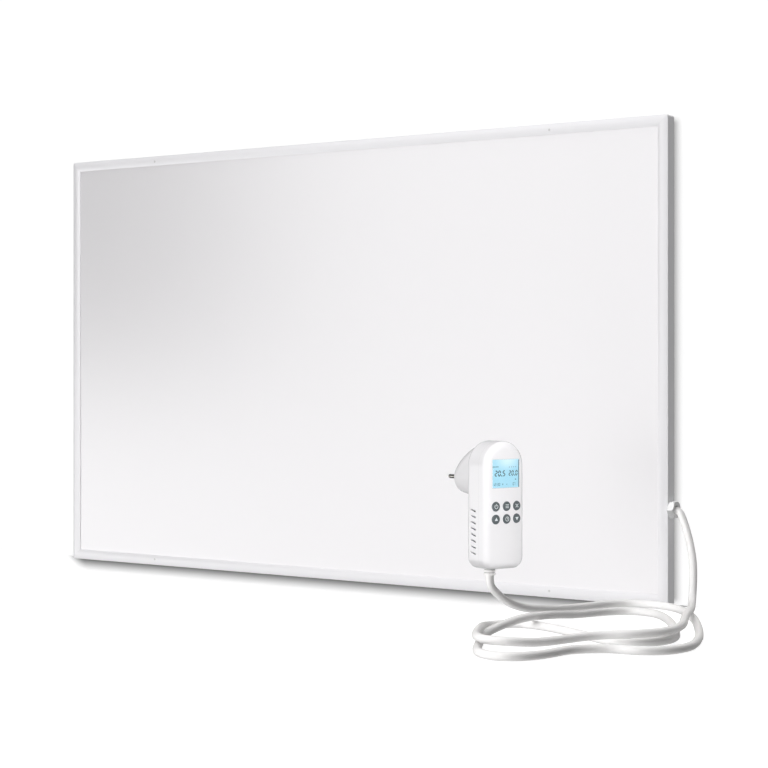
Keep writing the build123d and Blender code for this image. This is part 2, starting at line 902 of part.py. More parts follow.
with BuildPart() as housing_front:
    with BuildSketch(unit_face(parting_y)):
        add(unit_outline.sketch)
    extrude(amount=front_shell_depth)
    with BuildSketch(unit.offset(bottom_z)):
        with BuildLine():
            side = half_unit + 1
            ThreePointArc((-side, crown_y(side)), (0, face_y), (side, crown_y(side)))
            Polyline((side, crown_y(side)), (side, parting_y), (-side, parting_y), (-side, crown_y(side)))
        make_face()
    extrude(amount=unit_height, mode=Mode.INTERSECT)
    fillet(housing_front.faces().sort_by(unit_back_axis)[0].edges(), unit_front_round)
    with BuildSketch(unit_face(parting_y)):
        add(unit_outline.sketch)
        offset(amount=-unit_wall, mode=Mode.REPLACE)
    extrude(amount=parting_y - step_y, mode=Mode.SUBTRACT)
    with BuildSketch(unit_face(step_y)):
        add(unit_outline.sketch)
        offset(amount=-front_pocket_inset, mode=Mode.REPLACE)
    extrude(amount=step_y - skin_y, mode=Mode.SUBTRACT)
    with BuildSketch(unit_face(parting_y)):
        with Locations(*pillar_spots):
            Circle(pillar_radius)
    extrude(amount=parting_y - skin_y)
    with BuildSketch(unit_face(parting_y)):
        with Locations(*pillar_spots):
            Circle(housing_screw_radius + fastener_gap)
    extrude(amount=(parting_y - skin_y) * pillar_hole_share, mode=Mode.SUBTRACT)
    with BuildSketch(unit.offset(window_z - window_height / 2)):
        with BuildLine():
            half = window_width / 2
            ThreePointArc(
                (-half, crown_y(half) + window_pane), (0, face_y + window_pane), (half, crown_y(half) + window_pane)
            )
            Polyline(
                (half, crown_y(half) + window_pane), (half, face_y - 1), (-half, face_y - 1),
                (-half, crown_y(half) + window_pane),
            )
        make_face()
    extrude(amount=window_height, mode=Mode.SUBTRACT)
    with BuildSketch(unit_face(skin_y)):
        with Locations((0, window_z)):
            Rectangle(window_width - 2 * window_ledge, window_height - 2 * window_ledge)
        with Locations(*key_spots):
            Circle(key_radius + key_gap)
    extrude(amount=front_skin + 1, mode=Mode.SUBTRACT)
housing_front.part.label = "housing_front"
export_step(housing_front.part, "parts/housing_front.step")

boss_sections = (
    (parting_y, unit_width, boss_base_height, unit_height / 2 - boss_base_height / 2),
    (boss_mid_back, boss_mid_width, boss_mid_height, boss_mid_rise),
    (plug_y, 2 * plug_radius, 2 * plug_radius, plug_z),
)

with BuildPart() as rear_form:
    with BuildSketch(unit_face(parting_y)):
        add(unit_outline.sketch)
    extrude(amount=parting_y - back_y)
    fillet(rear_form.faces().sort_by(unit_back_axis)[-1].edges(), unit_back_round)
    for y, width, height, z in boss_sections:
        with BuildSketch(unit_face(y)):
            with Locations((0, z)):
                RectangleRounded(width, height, width / 2 - loft_flat)
    loft()

with BuildPart() as rear_hollow:
    with BuildSketch(unit_face(parting_y)):
        add(unit_outline.sketch)
        offset(amount=-unit_wall, mode=Mode.REPLACE)
    extrude(amount=parting_y - back_y + unit_wall)
    fillet(rear_hollow.faces().sort_by(unit_back_axis)[-1].edges(), unit_back_round - unit_wall)
    for y, width, height, z in boss_sections:
        with BuildSketch(unit_face(y if y < plug_y else plug_y - insert_depth)):
            with Locations((0, z)):
                RectangleRounded(width - 2 * unit_wall, height - 2 * unit_wall, width / 2 - unit_wall - loft_flat)
    loft()

# Screw pillars and the seat of the cord grip stop at the rounded outside of the shell
with BuildPart() as rear_posts:
    with BuildSketch(unit_face(parting_y)):
        with Locations(*pillar_spots):
            Circle(pillar_radius)
    extrude(amount=parting_y - back_y)
    add(rear_form.part, mode=Mode.INTERSECT)
    with BuildSketch(unit.offset(bottom_z)):
        with Locations((0, outlet_y)):
            Circle(cord_seat_radius)
    extrude(amount=cord_seat_height)

with BuildPart() as housing_rear:
    add(rear_form.part)
    add(rear_hollow.part, mode=Mode.SUBTRACT)
    add(rear_posts.part)
    with BuildSketch(unit_face(plug_y)):
        with Locations((0, plug_z)):
            Circle(insert_radius + insert_gap)
        for side in (-1, 1):
            with Locations((0, plug_z + side * plug_radius)):
                Rectangle(earth_clip_width + 2 * insert_gap, 2 * (plug_radius - insert_radius))
    extrude(amount=insert_depth, mode=Mode.SUBTRACT)
    for row in range(vent_count):
        vent_z = vent_first_z - row * vent_pitch
        vent_y = vent_front + vent_length / 2
        for side in (-1, 1):
            vent_plane = Plane(
                origin=unit_point(side * half_unit, vent_y, vent_z),
                x_dir=unit.y_dir,
                z_dir=side * unit.x_dir,
            )
            with BuildSketch(vent_plane):
                SlotOverall(vent_length, vent_height, rotation=side * vent_slope)
            extrude(amount=-2 * unit_wall, mode=Mode.SUBTRACT)
    with BuildSketch(unit_face(back_y)):
        with Locations(*pillar_spots):
            Circle(housing_screw_head + fastener_gap)
    extrude(amount=housing_screw_recess, mode=Mode.SUBTRACT)
    with BuildSketch(unit_face(back_y)):
        with Locations(*pillar_spots):
            Circle(housing_screw_radius + fastener_gap)
    extrude(amount=back_y - parting_y, mode=Mode.SUBTRACT)
    with BuildSketch(unit.offset(bottom_z)):
        with Locations((0, outlet_y)):
            Circle(grip_neck_radius + fastener_gap)
    extrude(amount=cord_seat_height, mode=Mode.SUBTRACT)
    with BuildSketch(unit.offset(bottom_z + cord_seat_height)):
        with Locations((0, outlet_y)):
            Circle(grip_flange_radius + fastener_gap)
    extrude(amount=2 * grip_flange, mode=Mode.SUBTRACT)
housing_rear.part.label = "housing_rear"
export_step(housing_rear.part, "parts/housing_rear.step")

with BuildPart() as housing_screws:
    with BuildSketch(unit_face(back_y - housing_screw_recess)):
        with Locations(*pillar_spots):
            Circle(housing_screw_head)
    extrude(amount=-housing_screw_head_height)
    with BuildSketch(unit_face(back_y - housing_screw_recess)):
        with Locations(*pillar_spots):
            Circle(housing_screw_radius)
    extrude(amount=back_y - housing_screw_recess - parting_y + (parting_y - skin_y) * housing_screw_share)
housing_screws.part.label = "housing_screws"
export_step(housing_screws.part, "parts/housing_screws.step")

# ---------------------------------------------------------------- display and keys

with BuildPart() as display_window:
    with BuildSketch(unit.offset(window_z - window_height / 2 + window_gap)):
        with BuildLine():
            half = window_width / 2 - window_gap
            back = window_pane
            ThreePointArc((-half, crown_y(half)), (0, face_y), (half, crown_y(half)))
            ThreePointArc((-half, crown_y(half) + back), (0, face_y + back), (half, crown_y(half) + back))
            Line((-half, crown_y(half)), (-half, crown_y(half) + back))
            Line((half, crown_y(half)), (half, crown_y(half) + back))
        make_face()
    extrude(amount=window_height - 2 * window_gap)
display_window.part.label = "display_window"
export_step(display_window.part, "parts/display_window.step")

board_front_y = face_y + circuit_board_front
board_back_y = board_front_y + circuit_board_thickness

with BuildPart() as lcd_module:
    with BuildSketch(unit_face(board_front_y)):
        with Locations((0, window_z)):
            Rectangle(window_width - 2 * window_ledge + lcd_margin, window_height - 2 * window_ledge + lcd_margin)
    extrude(amount=board_front_y - skin_y)
lcd_module.part.label = "lcd_module"
export_step(lcd_module.part, "parts/lcd_module.step")

key_flange_front = skin_y + key_gap
key_flange_back = key_flange_front + key_flange
key_names = ("power", "menu", "cancel", "up", "clock", "down")

for name, (x, z) in zip(key_names, key_spots):
    with BuildPart() as key:
        with BuildSketch(unit_face(key_flange_back)):
            with Locations((x, z)):
                Circle(key_flange_radius)
        extrude(amount=key_flange)
        with BuildSketch(unit_face(key_flange_front)):
            with Locations((x, z)):
                Circle(key_radius)
        extrude(amount=key_flange_front - crown_y(x) + key_proud)
        fillet(key.faces().sort_by(unit_back_axis)[0].edges(), key_edge)
    key.part.label = f"key_{name}"
    export_step(key.part, f"parts/key_{name}.step")

switch_top_y = key_flange_back + key_travel + key_overtravel
with BuildPart() as key_switches:
    with BuildSketch(unit_face(board_front_y)):
        with Locations(*key_spots):
            Rectangle(switch_size, switch_size)
    extrude(amount=switch_base)
    with BuildSketch(unit_face(board_front_y)):
        with Locations(*key_spots):
            Circle(switch_plunger_radius)
    extrude(amount=board_front_y - switch_top_y)
key_switches.part.label = "key_switches"
export_step(key_switches.part, "parts/key_switches.step")

# ---------------------------------------------------------------- circuit board

with BuildPart() as circuit_board:
    with BuildSketch(unit_face(board_back_y)):
        RectangleRounded(circuit_board_width, circuit_board_height, circuit_board_corner)
        with Locations(*pillar_spots):
            Circle(pillar_radius + key_gap, mode=Mode.SUBTRACT)
        for side in (-1, 1):
            with Locations((side * circuit_board_width / 2, circuit_board_height / 2)):
                Circle(pillar_radius * 2, mode=Mode.SUBTRACT)
    extrude(amount=circuit_board_thickness)
circuit_board.part.label = "circuit_board"
export_step(circuit_board.part, "parts/circuit_board.step")

# Each block's place across and up the board, then its width, its height and how far it stands back
board_blocks = {
    "relay": (-8, -22, 15.5, 19.0, 15.5),
    "transformer": (0, 18, 27.0, 24.0, 19.0),
    "terminal_pair": (0, -44, 16.0, 8.0, 10.0),
}
capacitor_spot = (8, -18)
fuse_start = (-16, 38)
sensor_spot = (-20, -38)

for name, (x, z, width, height, depth) in board_blocks.items():
    with BuildPart() as block:
        with BuildSketch(unit_face(board_back_y)):
            with Locations((x, z)):
                RectangleRounded(width, height, block_corner)
        extrude(amount=-depth)
    block.part.label = name
    export_step(block.part, f"parts/{name}.step")

with BuildPart() as capacitor:
    with BuildSketch(unit_face(board_back_y)):
        with Locations(capacitor_spot):
            Circle(capacitor_radius)
    extrude(amount=-capacitor_height)
    fillet(capacitor.faces().sort_by(unit_back_axis)[-1].edges(), capacitor_edge)
capacitor.part.label = "capacitor"
export_step(capacitor.part, "parts/capacitor.step")

fuse_left = unit_point(fuse_start[0], board_back_y + fuse_radius, fuse_start[1])
with BuildPart() as fuse:
    with BuildSketch(Plane(origin=fuse_left, x_dir=unit.y_dir, z_dir=unit.x_dir)):
        Circle(fuse_radius)
    extrude(amount=fuse_length)
fuse.part.label = "fuse"
export_step(fuse.part, "parts/fuse.step")

with BuildPart() as room_sensor:
    with BuildSketch(unit_face(board_back_y)):
        with Locations(sensor_spot):
            Circle(sensor_radius)
    extrude(amount=-sensor_height)
    fillet(room_sensor.faces().sort_by(unit_back_axis)[-1].edges(), sensor_edge)
room_sensor.part.label = "room_sensor"
export_step(room_sensor.part, "parts/room_sensor.step")

# ---------------------------------------------------------------- plug and cord exit

with BuildPart() as plug_insert:
    with BuildSketch(unit_face(plug_y + insert_proud)):
        with Locations((0, plug_z)):
            Circle(insert_radius)
        for side in (-1, 1):
            with Locations((side * pin_pitch / 2, plug_z)):
                Circle(pin_root_radius + fastener_gap / 2, mode=Mode.SUBTRACT)
    extrude(amount=insert_proud + insert_depth)
    fillet(plug_insert.faces().sort_by(unit_back_axis)[-1].outer_wire().edges(), insert_edge)
plug_insert.part.label = "plug_insert"
export_step(plug_insert.part, "parts/plug_insert.step")

with BuildPart() as plug_pins:
    with BuildSketch(unit_face(plug_y + insert_proud)):
        with Locations(*[(side * pin_pitch / 2, plug_z) for side in (-1, 1)]):
            Circle(pin_radius)
    extrude(amount=-pin_length)
    fillet(plug_pins.edges().group_by(unit_back_axis)[-1], pin_tip)
    with BuildSketch(unit_face(plug_y + insert_proud)):
        with Locations(*[(side * pin_pitch / 2, plug_z) for side in (-1, 1)]):
            Circle(pin_root_radius)
    extrude(amount=insert_proud + insert_depth + pin_root)
plug_pins.part.label = "plug_pins"
export_step(plug_pins.part, "parts/plug_pins.step")

clip_z = insert_radius + insert_gap + earth_clip_thickness / 2
with BuildPart() as earth_clips:
    with BuildSketch(unit_face(plug_y)):
        with Locations(*[(0, plug_z + side * clip_z) for side in (-1, 1)]):
            Rectangle(earth_clip_width, earth_clip_thickness)
    extrude(amount=earth_clip_length)
earth_clips.part.label = "earth_clips"
export_step(earth_clips.part, "parts/earth_clips.step")

# The ribbed grip is one turned shape: rings below the housing, a neck through its seat and a flange inside
with BuildPart() as cord_grip:
    with BuildSketch(Plane(origin=unit_point(0, outlet_y, bottom_z), x_dir=unit.x_dir, z_dir=-unit.y_dir)):
        with Locations((grip_neck_radius / 2, cord_seat_height / 2 + grip_flange / 2)):
            Rectangle(grip_neck_radius, cord_seat_height + grip_flange)
        with Locations((grip_flange_radius / 2, cord_seat_height + grip_flange / 2)):
            Rectangle(grip_flange_radius, grip_flange)
        with Locations(((grip_radius - grip_groove) / 2, -grip_length / 2)):
            Rectangle(grip_radius - grip_groove, grip_length)
        for row in range(grip_ring_count):
            ring_z = -grip_ring / 2 - row * (grip_length - grip_ring) / (grip_ring_count - 1)
            with Locations((grip_radius / 2, ring_z)):
                Rectangle(grip_radius, grip_ring)
        bore = cord_radius + gland_bore_gap
        with Locations((bore / 2, 0)):
            Rectangle(bore, 4 * grip_length, mode=Mode.SUBTRACT)
    revolve(axis=Axis(unit_point(0, outlet_y, 0), (0, 0, 1)))
cord_grip.part.label = "cord_grip"
export_step(cord_grip.part, "parts/cord_grip.step")

with BuildPart() as cord_outlet:
    with BuildSketch(Plane.XY.offset(outlet_face)):
        with Locations(outlet[:2]):
            Circle(cord_radius)
    extrude(amount=grip_length + sheath_inside_unit)
cord_outlet.part.label = "cord_outlet"
export_step(cord_outlet.part, "parts/cord_outlet.step")
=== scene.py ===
"""Infrared panel heater: a white steel front in a rounded border, a mains cord and a plug-in thermostat.

Everything is in metres in the model's own frame: +X to the right, +Y into the wall, +Z up, with the origin
on the wall, midway between the keyholes that the panel hangs by.
"""

import json

import bpy
import numpy as np
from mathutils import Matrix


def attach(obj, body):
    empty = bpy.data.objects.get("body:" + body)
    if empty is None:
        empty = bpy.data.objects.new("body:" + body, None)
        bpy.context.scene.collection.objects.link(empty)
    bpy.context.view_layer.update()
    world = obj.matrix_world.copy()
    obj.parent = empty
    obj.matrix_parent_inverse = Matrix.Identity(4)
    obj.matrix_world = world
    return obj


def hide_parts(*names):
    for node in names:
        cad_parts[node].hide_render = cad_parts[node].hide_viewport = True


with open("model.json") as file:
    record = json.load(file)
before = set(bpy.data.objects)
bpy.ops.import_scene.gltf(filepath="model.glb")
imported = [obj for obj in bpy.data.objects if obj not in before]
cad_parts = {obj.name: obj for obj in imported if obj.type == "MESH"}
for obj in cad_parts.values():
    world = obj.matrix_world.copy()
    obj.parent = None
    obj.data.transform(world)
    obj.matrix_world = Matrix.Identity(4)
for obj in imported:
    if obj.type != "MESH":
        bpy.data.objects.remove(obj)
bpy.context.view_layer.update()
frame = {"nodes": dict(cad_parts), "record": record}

# ------------------------------------------------------------------ the white room
# A white wall and floor, wide sheets that show only on their own side and throw no light back. The bands of
# shade beside the panel and at its foot are painted on them. Six lamps stand before the heater and beside
# it, each for certain pieces, and three more light everything from below, above and behind.

floor_height = -0.3
panel_size = (1.0, 0.6)
wall_shade = {
    "along": "X", "dark_until": 0.4853, "clear_from": 0.5098, "darkest": 0.0,
    "beyond": "Z", "half_span": 0.302, "fade": 0.012, "slant": 0.0,
}
foot_shade = {
    "along": "Y", "dark_until": -0.01, "clear_from": 0.18, "darkest": 0.05,
    "beyond": "X", "half_span": 0.545, "fade": 0.04, "slant": 1.1,
}


def flat_mesh(name, corners):
    """One flat face through the given corners, in order."""
    mesh = bpy.data.meshes.new(name)
    mesh.from_pydata([tuple(corner) for corner in corners], [], [tuple(range(len(corners)))])
    piece = bpy.data.objects.new(name, mesh)
    bpy.context.scene.collection.objects.link(piece)
    return piece


def wiring(material):
    """A material's node tree, with a maker of nodes and a maker of links."""
    tree = material.node_tree

    def node(kind, **settings):
        made = tree.nodes.new(kind)
        for key, value in settings.items():
            setattr(made, key, value)
        return made

    return tree, node, tree.links.new


def sheet_seen_from_front(name, reflectance, glow, shade):
    """White surface for camera rays on its own side, clear to every other ray, with a band of shade on it."""
    material = bpy.data.materials.new(name)
    material.use_nodes = True
    tree, node, link = wiring(material)
    tree.nodes.remove(tree.nodes["Principled BSDF"])
    output = tree.nodes["Material Output"]
    diffuse = node("ShaderNodeBsdfDiffuse")
    emission = node("ShaderNodeEmission")
    both = node("ShaderNodeAddShader")
    clear = node("ShaderNodeBsdfTransparent")
    pick = node("ShaderNodeMixShader")
    path = node("ShaderNodeLightPath")
    side = node("ShaderNodeNewGeometry")
    seen = node("ShaderNodeMath", operation="MAXIMUM")
    front = node("ShaderNodeMath", operation="SUBTRACT")
    shown = node("ShaderNodeMath", operation="MULTIPLY")
    front.inputs[0].default_value = 1
    link(side.outputs["Backfacing"], front.inputs[1])
    link(path.outputs["Is Camera Ray"], seen.inputs[0])
    link(path.outputs["Is Transmission Ray"], seen.inputs[1])
    link(seen.outputs[0], shown.inputs[0])
    link(front.outputs[0], shown.inputs[1])
    link(diffuse.outputs[0], both.inputs[0])
    link(emission.outputs[0], both.inputs[1])
    link(shown.outputs[0], pick.inputs["Fac"])
    link(clear.outputs[0], pick.inputs[1])
    link(both.outputs[0], pick.inputs[2])
    link(pick.outputs[0], output.inputs["Surface"])
    place = node("ShaderNodeTexCoord")
    apart = node("ShaderNodeSeparateXYZ")
    distance = node("ShaderNodeMath", operation="ABSOLUTE")
    across = node("ShaderNodeMapRange", interpolation_type="SMOOTHSTEP")
    beside = node("ShaderNodeMath", operation="ABSOLUTE")
    reach = node("ShaderNodeMath", operation="MULTIPLY_ADD")
    off_end = node("ShaderNodeMapRange", interpolation_type="SMOOTHSTEP")
    strength = node("ShaderNodeMix", data_type="FLOAT")
    level = node("ShaderNodeMath", operation="MULTIPLY")
    lit = node("ShaderNodeMath", operation="MULTIPLY")
    tone = node("ShaderNodeCombineColor")
    across.inputs["From Min"].default_value = shade["dark_until"]
    across.inputs["From Max"].default_value = shade["clear_from"]
    across.inputs["To Min"].default_value = shade["darkest"]
    off_end.inputs["From Min"].default_value = shade["half_span"] - shade["fade"]
    off_end.inputs["From Max"].default_value = shade["half_span"]
    strength.inputs["B"].default_value = 1.0
    level.inputs[1].default_value = reflectance
    lit.inputs[1].default_value = glow
    link(place.outputs["Object"], apart.inputs[0])
    link(apart.outputs[shade["along"]], distance.inputs[0])
    link(distance.outputs[0], across.inputs["Value"])
    link(apart.outputs[shade["beyond"]], beside.inputs[0])
    link(distance.outputs[0], reach.inputs[0])
    reach.inputs[1].default_value = shade["slant"]
    link(beside.outputs[0], reach.inputs[2])
    link(reach.outputs[0], off_end.inputs["Value"])
    link(off_end.outputs["Result"], strength.inputs["Factor"])
    link(across.outputs["Result"], strength.inputs["A"])
    link(strength.outputs["Result"], level.inputs[0])
    link(strength.outputs["Result"], lit.inputs[0])
    for channel in ("Red", "Green", "Blue"):
        link(level.outputs[0], tone.inputs[channel])
    link(tone.outputs[0], diffuse.inputs["Color"])
    link(lit.outputs[0], emission.inputs["Strength"])
    return material


wall = flat_mesh("room_wall", [(-4, 0, floor_height), (4, 0, floor_height), (4, 0, 3), (-4, 0, 3)])
wall.data.materials.append(sheet_seen_from_front("wall_paint", 0.35, 0.9, wall_shade))
floor = flat_mesh(
    "room_floor", [(-4, -4, floor_height), (4, -4, floor_height), (4, 3, floor_height), (-4, 3, floor_height)]
)
floor.data.materials.append(sheet_seen_from_front("floor_paint", 0.45, 0.8, foot_shade))


def reflected_card(name, corners, strength):
    """A card that only glossy rays meet, so that it shapes the reflections and lights nothing."""
    card = flat_mesh(name, corners)
    material = bpy.data.materials.new(name)
    material.use_nodes = True
    tree, node, link = wiring(material)
    tree.nodes.remove(tree.nodes["Principled BSDF"])
    emission = node("ShaderNodeEmission")
    emission.inputs["Strength"].default_value = strength
    link(emission.outputs[0], tree.nodes["Material Output"].inputs["Surface"])
    card.data.materials.append(material)
    card.visible_camera = False
    card.visible_diffuse = False
    card.visible_transmission = False
    card.visible_shadow = False
    return card


# The front reflects a wide bright card, and a dark one before it that takes the upper left corner
reflected_card("bright_card", [(-6, -2.1, -3), (1.2, -2.1, -3), (1.2, -2.1, 4), (-6, -2.1, 4)], 4.9)
reflected_card("dark_card", [(-6, -2, -0.03), (-1.77, -2, -0.03), (-1.77, -2, 4), (-6, -2, 4)], 0.0)


def lamp(name, place, aim, size, power, seen_in_gloss):
    """A square soft light at a place, turned towards a point."""
    light = bpy.data.lights.new(name, "AREA")
    light.size = size
    light.energy = power
    lamp_object = bpy.data.objects.new(name, light)
    bpy.context.scene.collection.objects.link(lamp_object)
    direction = np.array(aim) - np.array(place)
    across, ahead, up = direction
    lamp_object.location = place
    lamp_object.rotation_euler = (
        np.arctan2(np.hypot(across, ahead), -up),
        0,
        np.arctan2(-across, ahead) if np.hypot(across, ahead) > 0 else 0,
    )
    lamp_object.visible_glossy = seen_in_gloss
    return lamp_object


panel_middle = (0, 0, 0)
thermostat_middle = (0.4, -0.26, -0.16)
cord_middle = (0.3, -0.3, -0.3)
panel_lamp = lamp("panel_lamp", (-0.35, -3.2, 0.3), panel_middle, 1.6, 28, False)
key_lamp = lamp("key_lamp", (-1.0, -3.0, 0.3), panel_middle, 1.6, 15, False)
face_lamp = lamp("face_lamp", (0.85, -0.62, 0.0), thermostat_middle, 0.4, 3.6, False)
side_lamp = lamp("side_lamp", (-1.6, -0.4, -0.7), thermostat_middle, 0.8, 22, False)
cord_lamp = lamp("cord_lamp", (-0.5, -2.2, 1.9), cord_middle, 3.0, 72, False)
cord_fill = lamp("cord_fill", (0.0, -1.4, -1.8), cord_middle, 3.0, 36, False)
lamp("bounce_lamp", (-0.3, -1.5, -1.6), panel_middle, 1.6, 6, False)
lamp("top_lamp", (-0.2, -0.6, 2.6), (0, -0.3, -0.3), 2.0, 38, True)
lamp("back_lamp", (0.4, 3.0, 1.6), panel_middle, 1.8, 60, False)
panel_lamp.data.use_shadow = False

ambient = 0.18
world = bpy.data.worlds.new("room_light")
world.use_nodes = True
bpy.context.scene.world = world
tree, node, link = wiring(world)
background = tree.nodes["Background"]
ray = node("ShaderNodeLightPath")
seen_or_mirrored = node("ShaderNodeMath", operation="MAXIMUM")
or_through_glass = node("ShaderNodeMath", operation="MAXIMUM")
room_level = node("ShaderNodeMapRange")
room_level.inputs["To Min"].default_value = ambient
room_level.inputs["To Max"].default_value = 1.0
link(ray.outputs["Is Camera Ray"], seen_or_mirrored.inputs[0])
link(ray.outputs["Is Glossy Ray"], seen_or_mirrored.inputs[1])
link(seen_or_mirrored.outputs[0], or_through_glass.inputs[0])
link(ray.outputs["Is Transmission Ray"], or_through_glass.inputs[1])
link(or_through_glass.outputs[0], room_level.inputs["Value"])
link(room_level.outputs["Result"], background.inputs["Strength"])
background.inputs["Color"].default_value = (1, 1, 1, 1)
bpy.context.scene.view_settings.view_transform = "Standard"

# The lens follows from a front of 5 to 3, which is assumed: the outline alone fits other ratios too
camera_data = bpy.data.cameras.new("camera")
camera_data.lens = 89.33
camera_data.sensor_width = 36
camera_data.shift_y = -0.0307
camera = bpy.data.objects.new("camera", camera_data)
camera.location = (1.5547, -2.116, 0)
camera.rotation_euler = (np.pi / 2, 0, np.radians(35.239))
bpy.context.scene.collection.objects.link(camera)
bpy.context.scene.camera = camera

# ------------------------------------------------------------------ mains cord
# Three-core round flex in warm white PVC, 9.4 mm thick and 2.6 m long. It drops from the gland to the floor,
# lies there in two loose turns and rises into the thermostat. The sheath is extruded, with a satin skin.

cord_diameter = 0.0094
lying = -0.2953
over = -0.2849
cord_route = [
    (0.5, -0.0165, -0.182), (0.511, -0.0165, -0.182), (0.518, -0.02, -0.193), (0.526, -0.026, -0.206),
    (0.535, -0.035, -0.222), (0.545, -0.048, -0.241), (0.553, -0.064, -0.262), (0.562, -0.086, over),
    (0.585, -0.136, over), (0.608, -0.199, over), (0.635, -0.256, over), (0.644, -0.308, over),
    (0.625, -0.344, over), (0.586, -0.362, -0.287), (0.568, -0.396, -0.289), (0.56, -0.438, -0.288),
    (0.546, -0.465, over), (0.519, -0.47, over), (0.496, -0.454, over), (0.478, -0.422, over),
    (0.456, -0.382, -0.288), (0.434, -0.341, -0.292), (0.425, -0.312, lying), (0.435, -0.287, lying),
    (0.461, -0.279, lying), (0.502, -0.295, lying), (0.543, -0.315, lying), (0.586, -0.341, lying),
    (0.62, -0.337, lying), (0.639, -0.309, lying), (0.637, -0.278, lying), (0.621, -0.245, lying),
    (0.587, -0.186, lying), (0.552, -0.137, lying), (0.524, -0.112, lying), (0.491, -0.113, lying),
    (0.471, -0.143, lying), (0.468, -0.194, -0.293), (0.469, -0.238, -0.288), (0.47, -0.274, over),
    (0.462, -0.31, over), (0.453, -0.346, -0.292), (0.461, -0.388, lying), (0.488, -0.434, lying),
    (0.503, -0.462, lying), (0.519, -0.487, lying), (0.545, -0.499, lying), (0.57, -0.488, lying),
    (0.583, -0.458, lying), (0.586, -0.413, lying), (0.618, -0.385, lying), (0.65, -0.384, lying),
    (0.674, -0.362, lying), (0.679, -0.327, lying), (0.668, -0.29, lying), (0.65, -0.247, lying),
    (0.611, -0.172, lying), (0.571, -0.106, lying), (0.532, -0.061, lying), (0.496, -0.044, lying),
    (0.462, -0.048, lying), (0.44, -0.071, lying), (0.433, -0.109, lying), (0.416, -0.149, lying),
    (0.407, -0.189, -0.292), (0.4, -0.22, -0.285), (0.3955, -0.24, -0.274), (0.393, -0.255, -0.263),
    (0.392768, -0.26141, -0.2557), (0.392768, -0.26141, -0.2457),
]

cord_curve = bpy.data.curves.new("mains_cord", "CURVE")
cord_curve.dimensions = "3D"
cord_curve.resolution_u = 8
cord_curve.bevel_depth = cord_diameter / 2
cord_curve.bevel_resolution = 5
cord_spline = cord_curve.splines.new("NURBS")
cord_spline.points.add(len(cord_route) - 1)
cord_spline.points.foreach_set("co", np.c_[cord_route, np.ones(len(cord_route))].ravel())
cord_spline.order_u = 3
cord_spline.use_endpoint_u = True
mains_cord = bpy.data.objects.new("mains_cord", cord_curve)
bpy.context.scene.collection.objects.link(mains_cord)


def shared_group(name, inputs, outputs):
    """An empty node group with named sockets, a maker of its nodes and a maker of its links."""
    tree = bpy.data.node_groups.new(name, "ShaderNodeTree")
    for label, kind, value in inputs:
        socket = tree.interface.new_socket(label, in_out="INPUT", socket_type=kind)
        socket.default_value = value
    for label, kind in outputs:
        tree.interface.new_socket(label, in_out="OUTPUT", socket_type=kind)

    def node(kind, **settings):
        made = tree.nodes.new(kind)
        for key, value in settings.items():
            setattr(made, key, value)
        return made

    return tree, node, tree.links.new, node("NodeGroupInput"), node("NodeGroupOutput")


# Fine grain of a sprayed, moulded or extruded skin: small bumps, and a mottle that varies the gloss
grain_tree, node, link, given, result = shared_group(
    "fine_grain",
    [("Cells per metre", "NodeSocketFloat", 900.0), ("Depth", "NodeSocketFloat", 0.1)],
    [("Mottle", "NodeSocketFloat"), ("Normal", "NodeSocketVector")],
)
place = node("ShaderNodeTexCoord")
bumps = node("ShaderNodeTexNoise")
bumps.inputs["Detail"].default_value = 2.0
relief = node("ShaderNodeBump")
relief.inputs["Distance"].default_value = 0.0002
link(place.outputs["Object"], bumps.inputs["Vector"])
link(given.outputs["Cells per metre"], bumps.inputs["Scale"])
link(bumps.outputs["Fac"], relief.inputs["Height"])
link(given.outputs["Depth"], relief.inputs["Strength"])
link(bumps.outputs["Fac"], result.inputs["Mottle"])
link(relief.outputs["Normal"], result.inputs["Normal"])

# Slow drift of tone over a surface, from handling, dust and the batch: one tint creeps into another
drift_tree, node, link, given, result = shared_group(
    "tone_drift",
    [
        ("Colour", "NodeSocketColor", (0.8, 0.8, 0.8, 1)),
        ("Tint", "NodeSocketColor", (0.7, 0.7, 0.7, 1)),
        ("Patches per metre", "NodeSocketFloat", 8.0),
        ("Amount", "NodeSocketFloat", 0.4),
    ],
    [("Colour", "NodeSocketColor"), ("Mask", "NodeSocketFloat")],
)
place = node("ShaderNodeTexCoord")
patches = node("ShaderNodeTexNoise")
patches.inputs["Detail"].default_value = 4.0
spread = node("ShaderNodeMapRange")
spread.inputs["From Min"].default_value = 0.35
spread.inputs["From Max"].default_value = 0.75
amount = node("ShaderNodeMath", operation="MULTIPLY")
blend = node("ShaderNodeMix", data_type="RGBA")
link(place.outputs["Object"], patches.inputs["Vector"])
link(given.outputs["Patches per metre"], patches.inputs["Scale"])
link(patches.outputs["Fac"], spread.inputs["Value"])
link(spread.outputs["Result"], amount.inputs[0])
link(given.outputs["Amount"], amount.inputs[1])
link(amount.outputs[0], blend.inputs["Factor"])
link(given.outputs["Colour"], blend.inputs["A"])
link(given.outputs["Tint"], blend.inputs["B"])
link(blend.outputs["Result"], result.inputs["Colour"])
link(amount.outputs[0], result.inputs["Mask"])


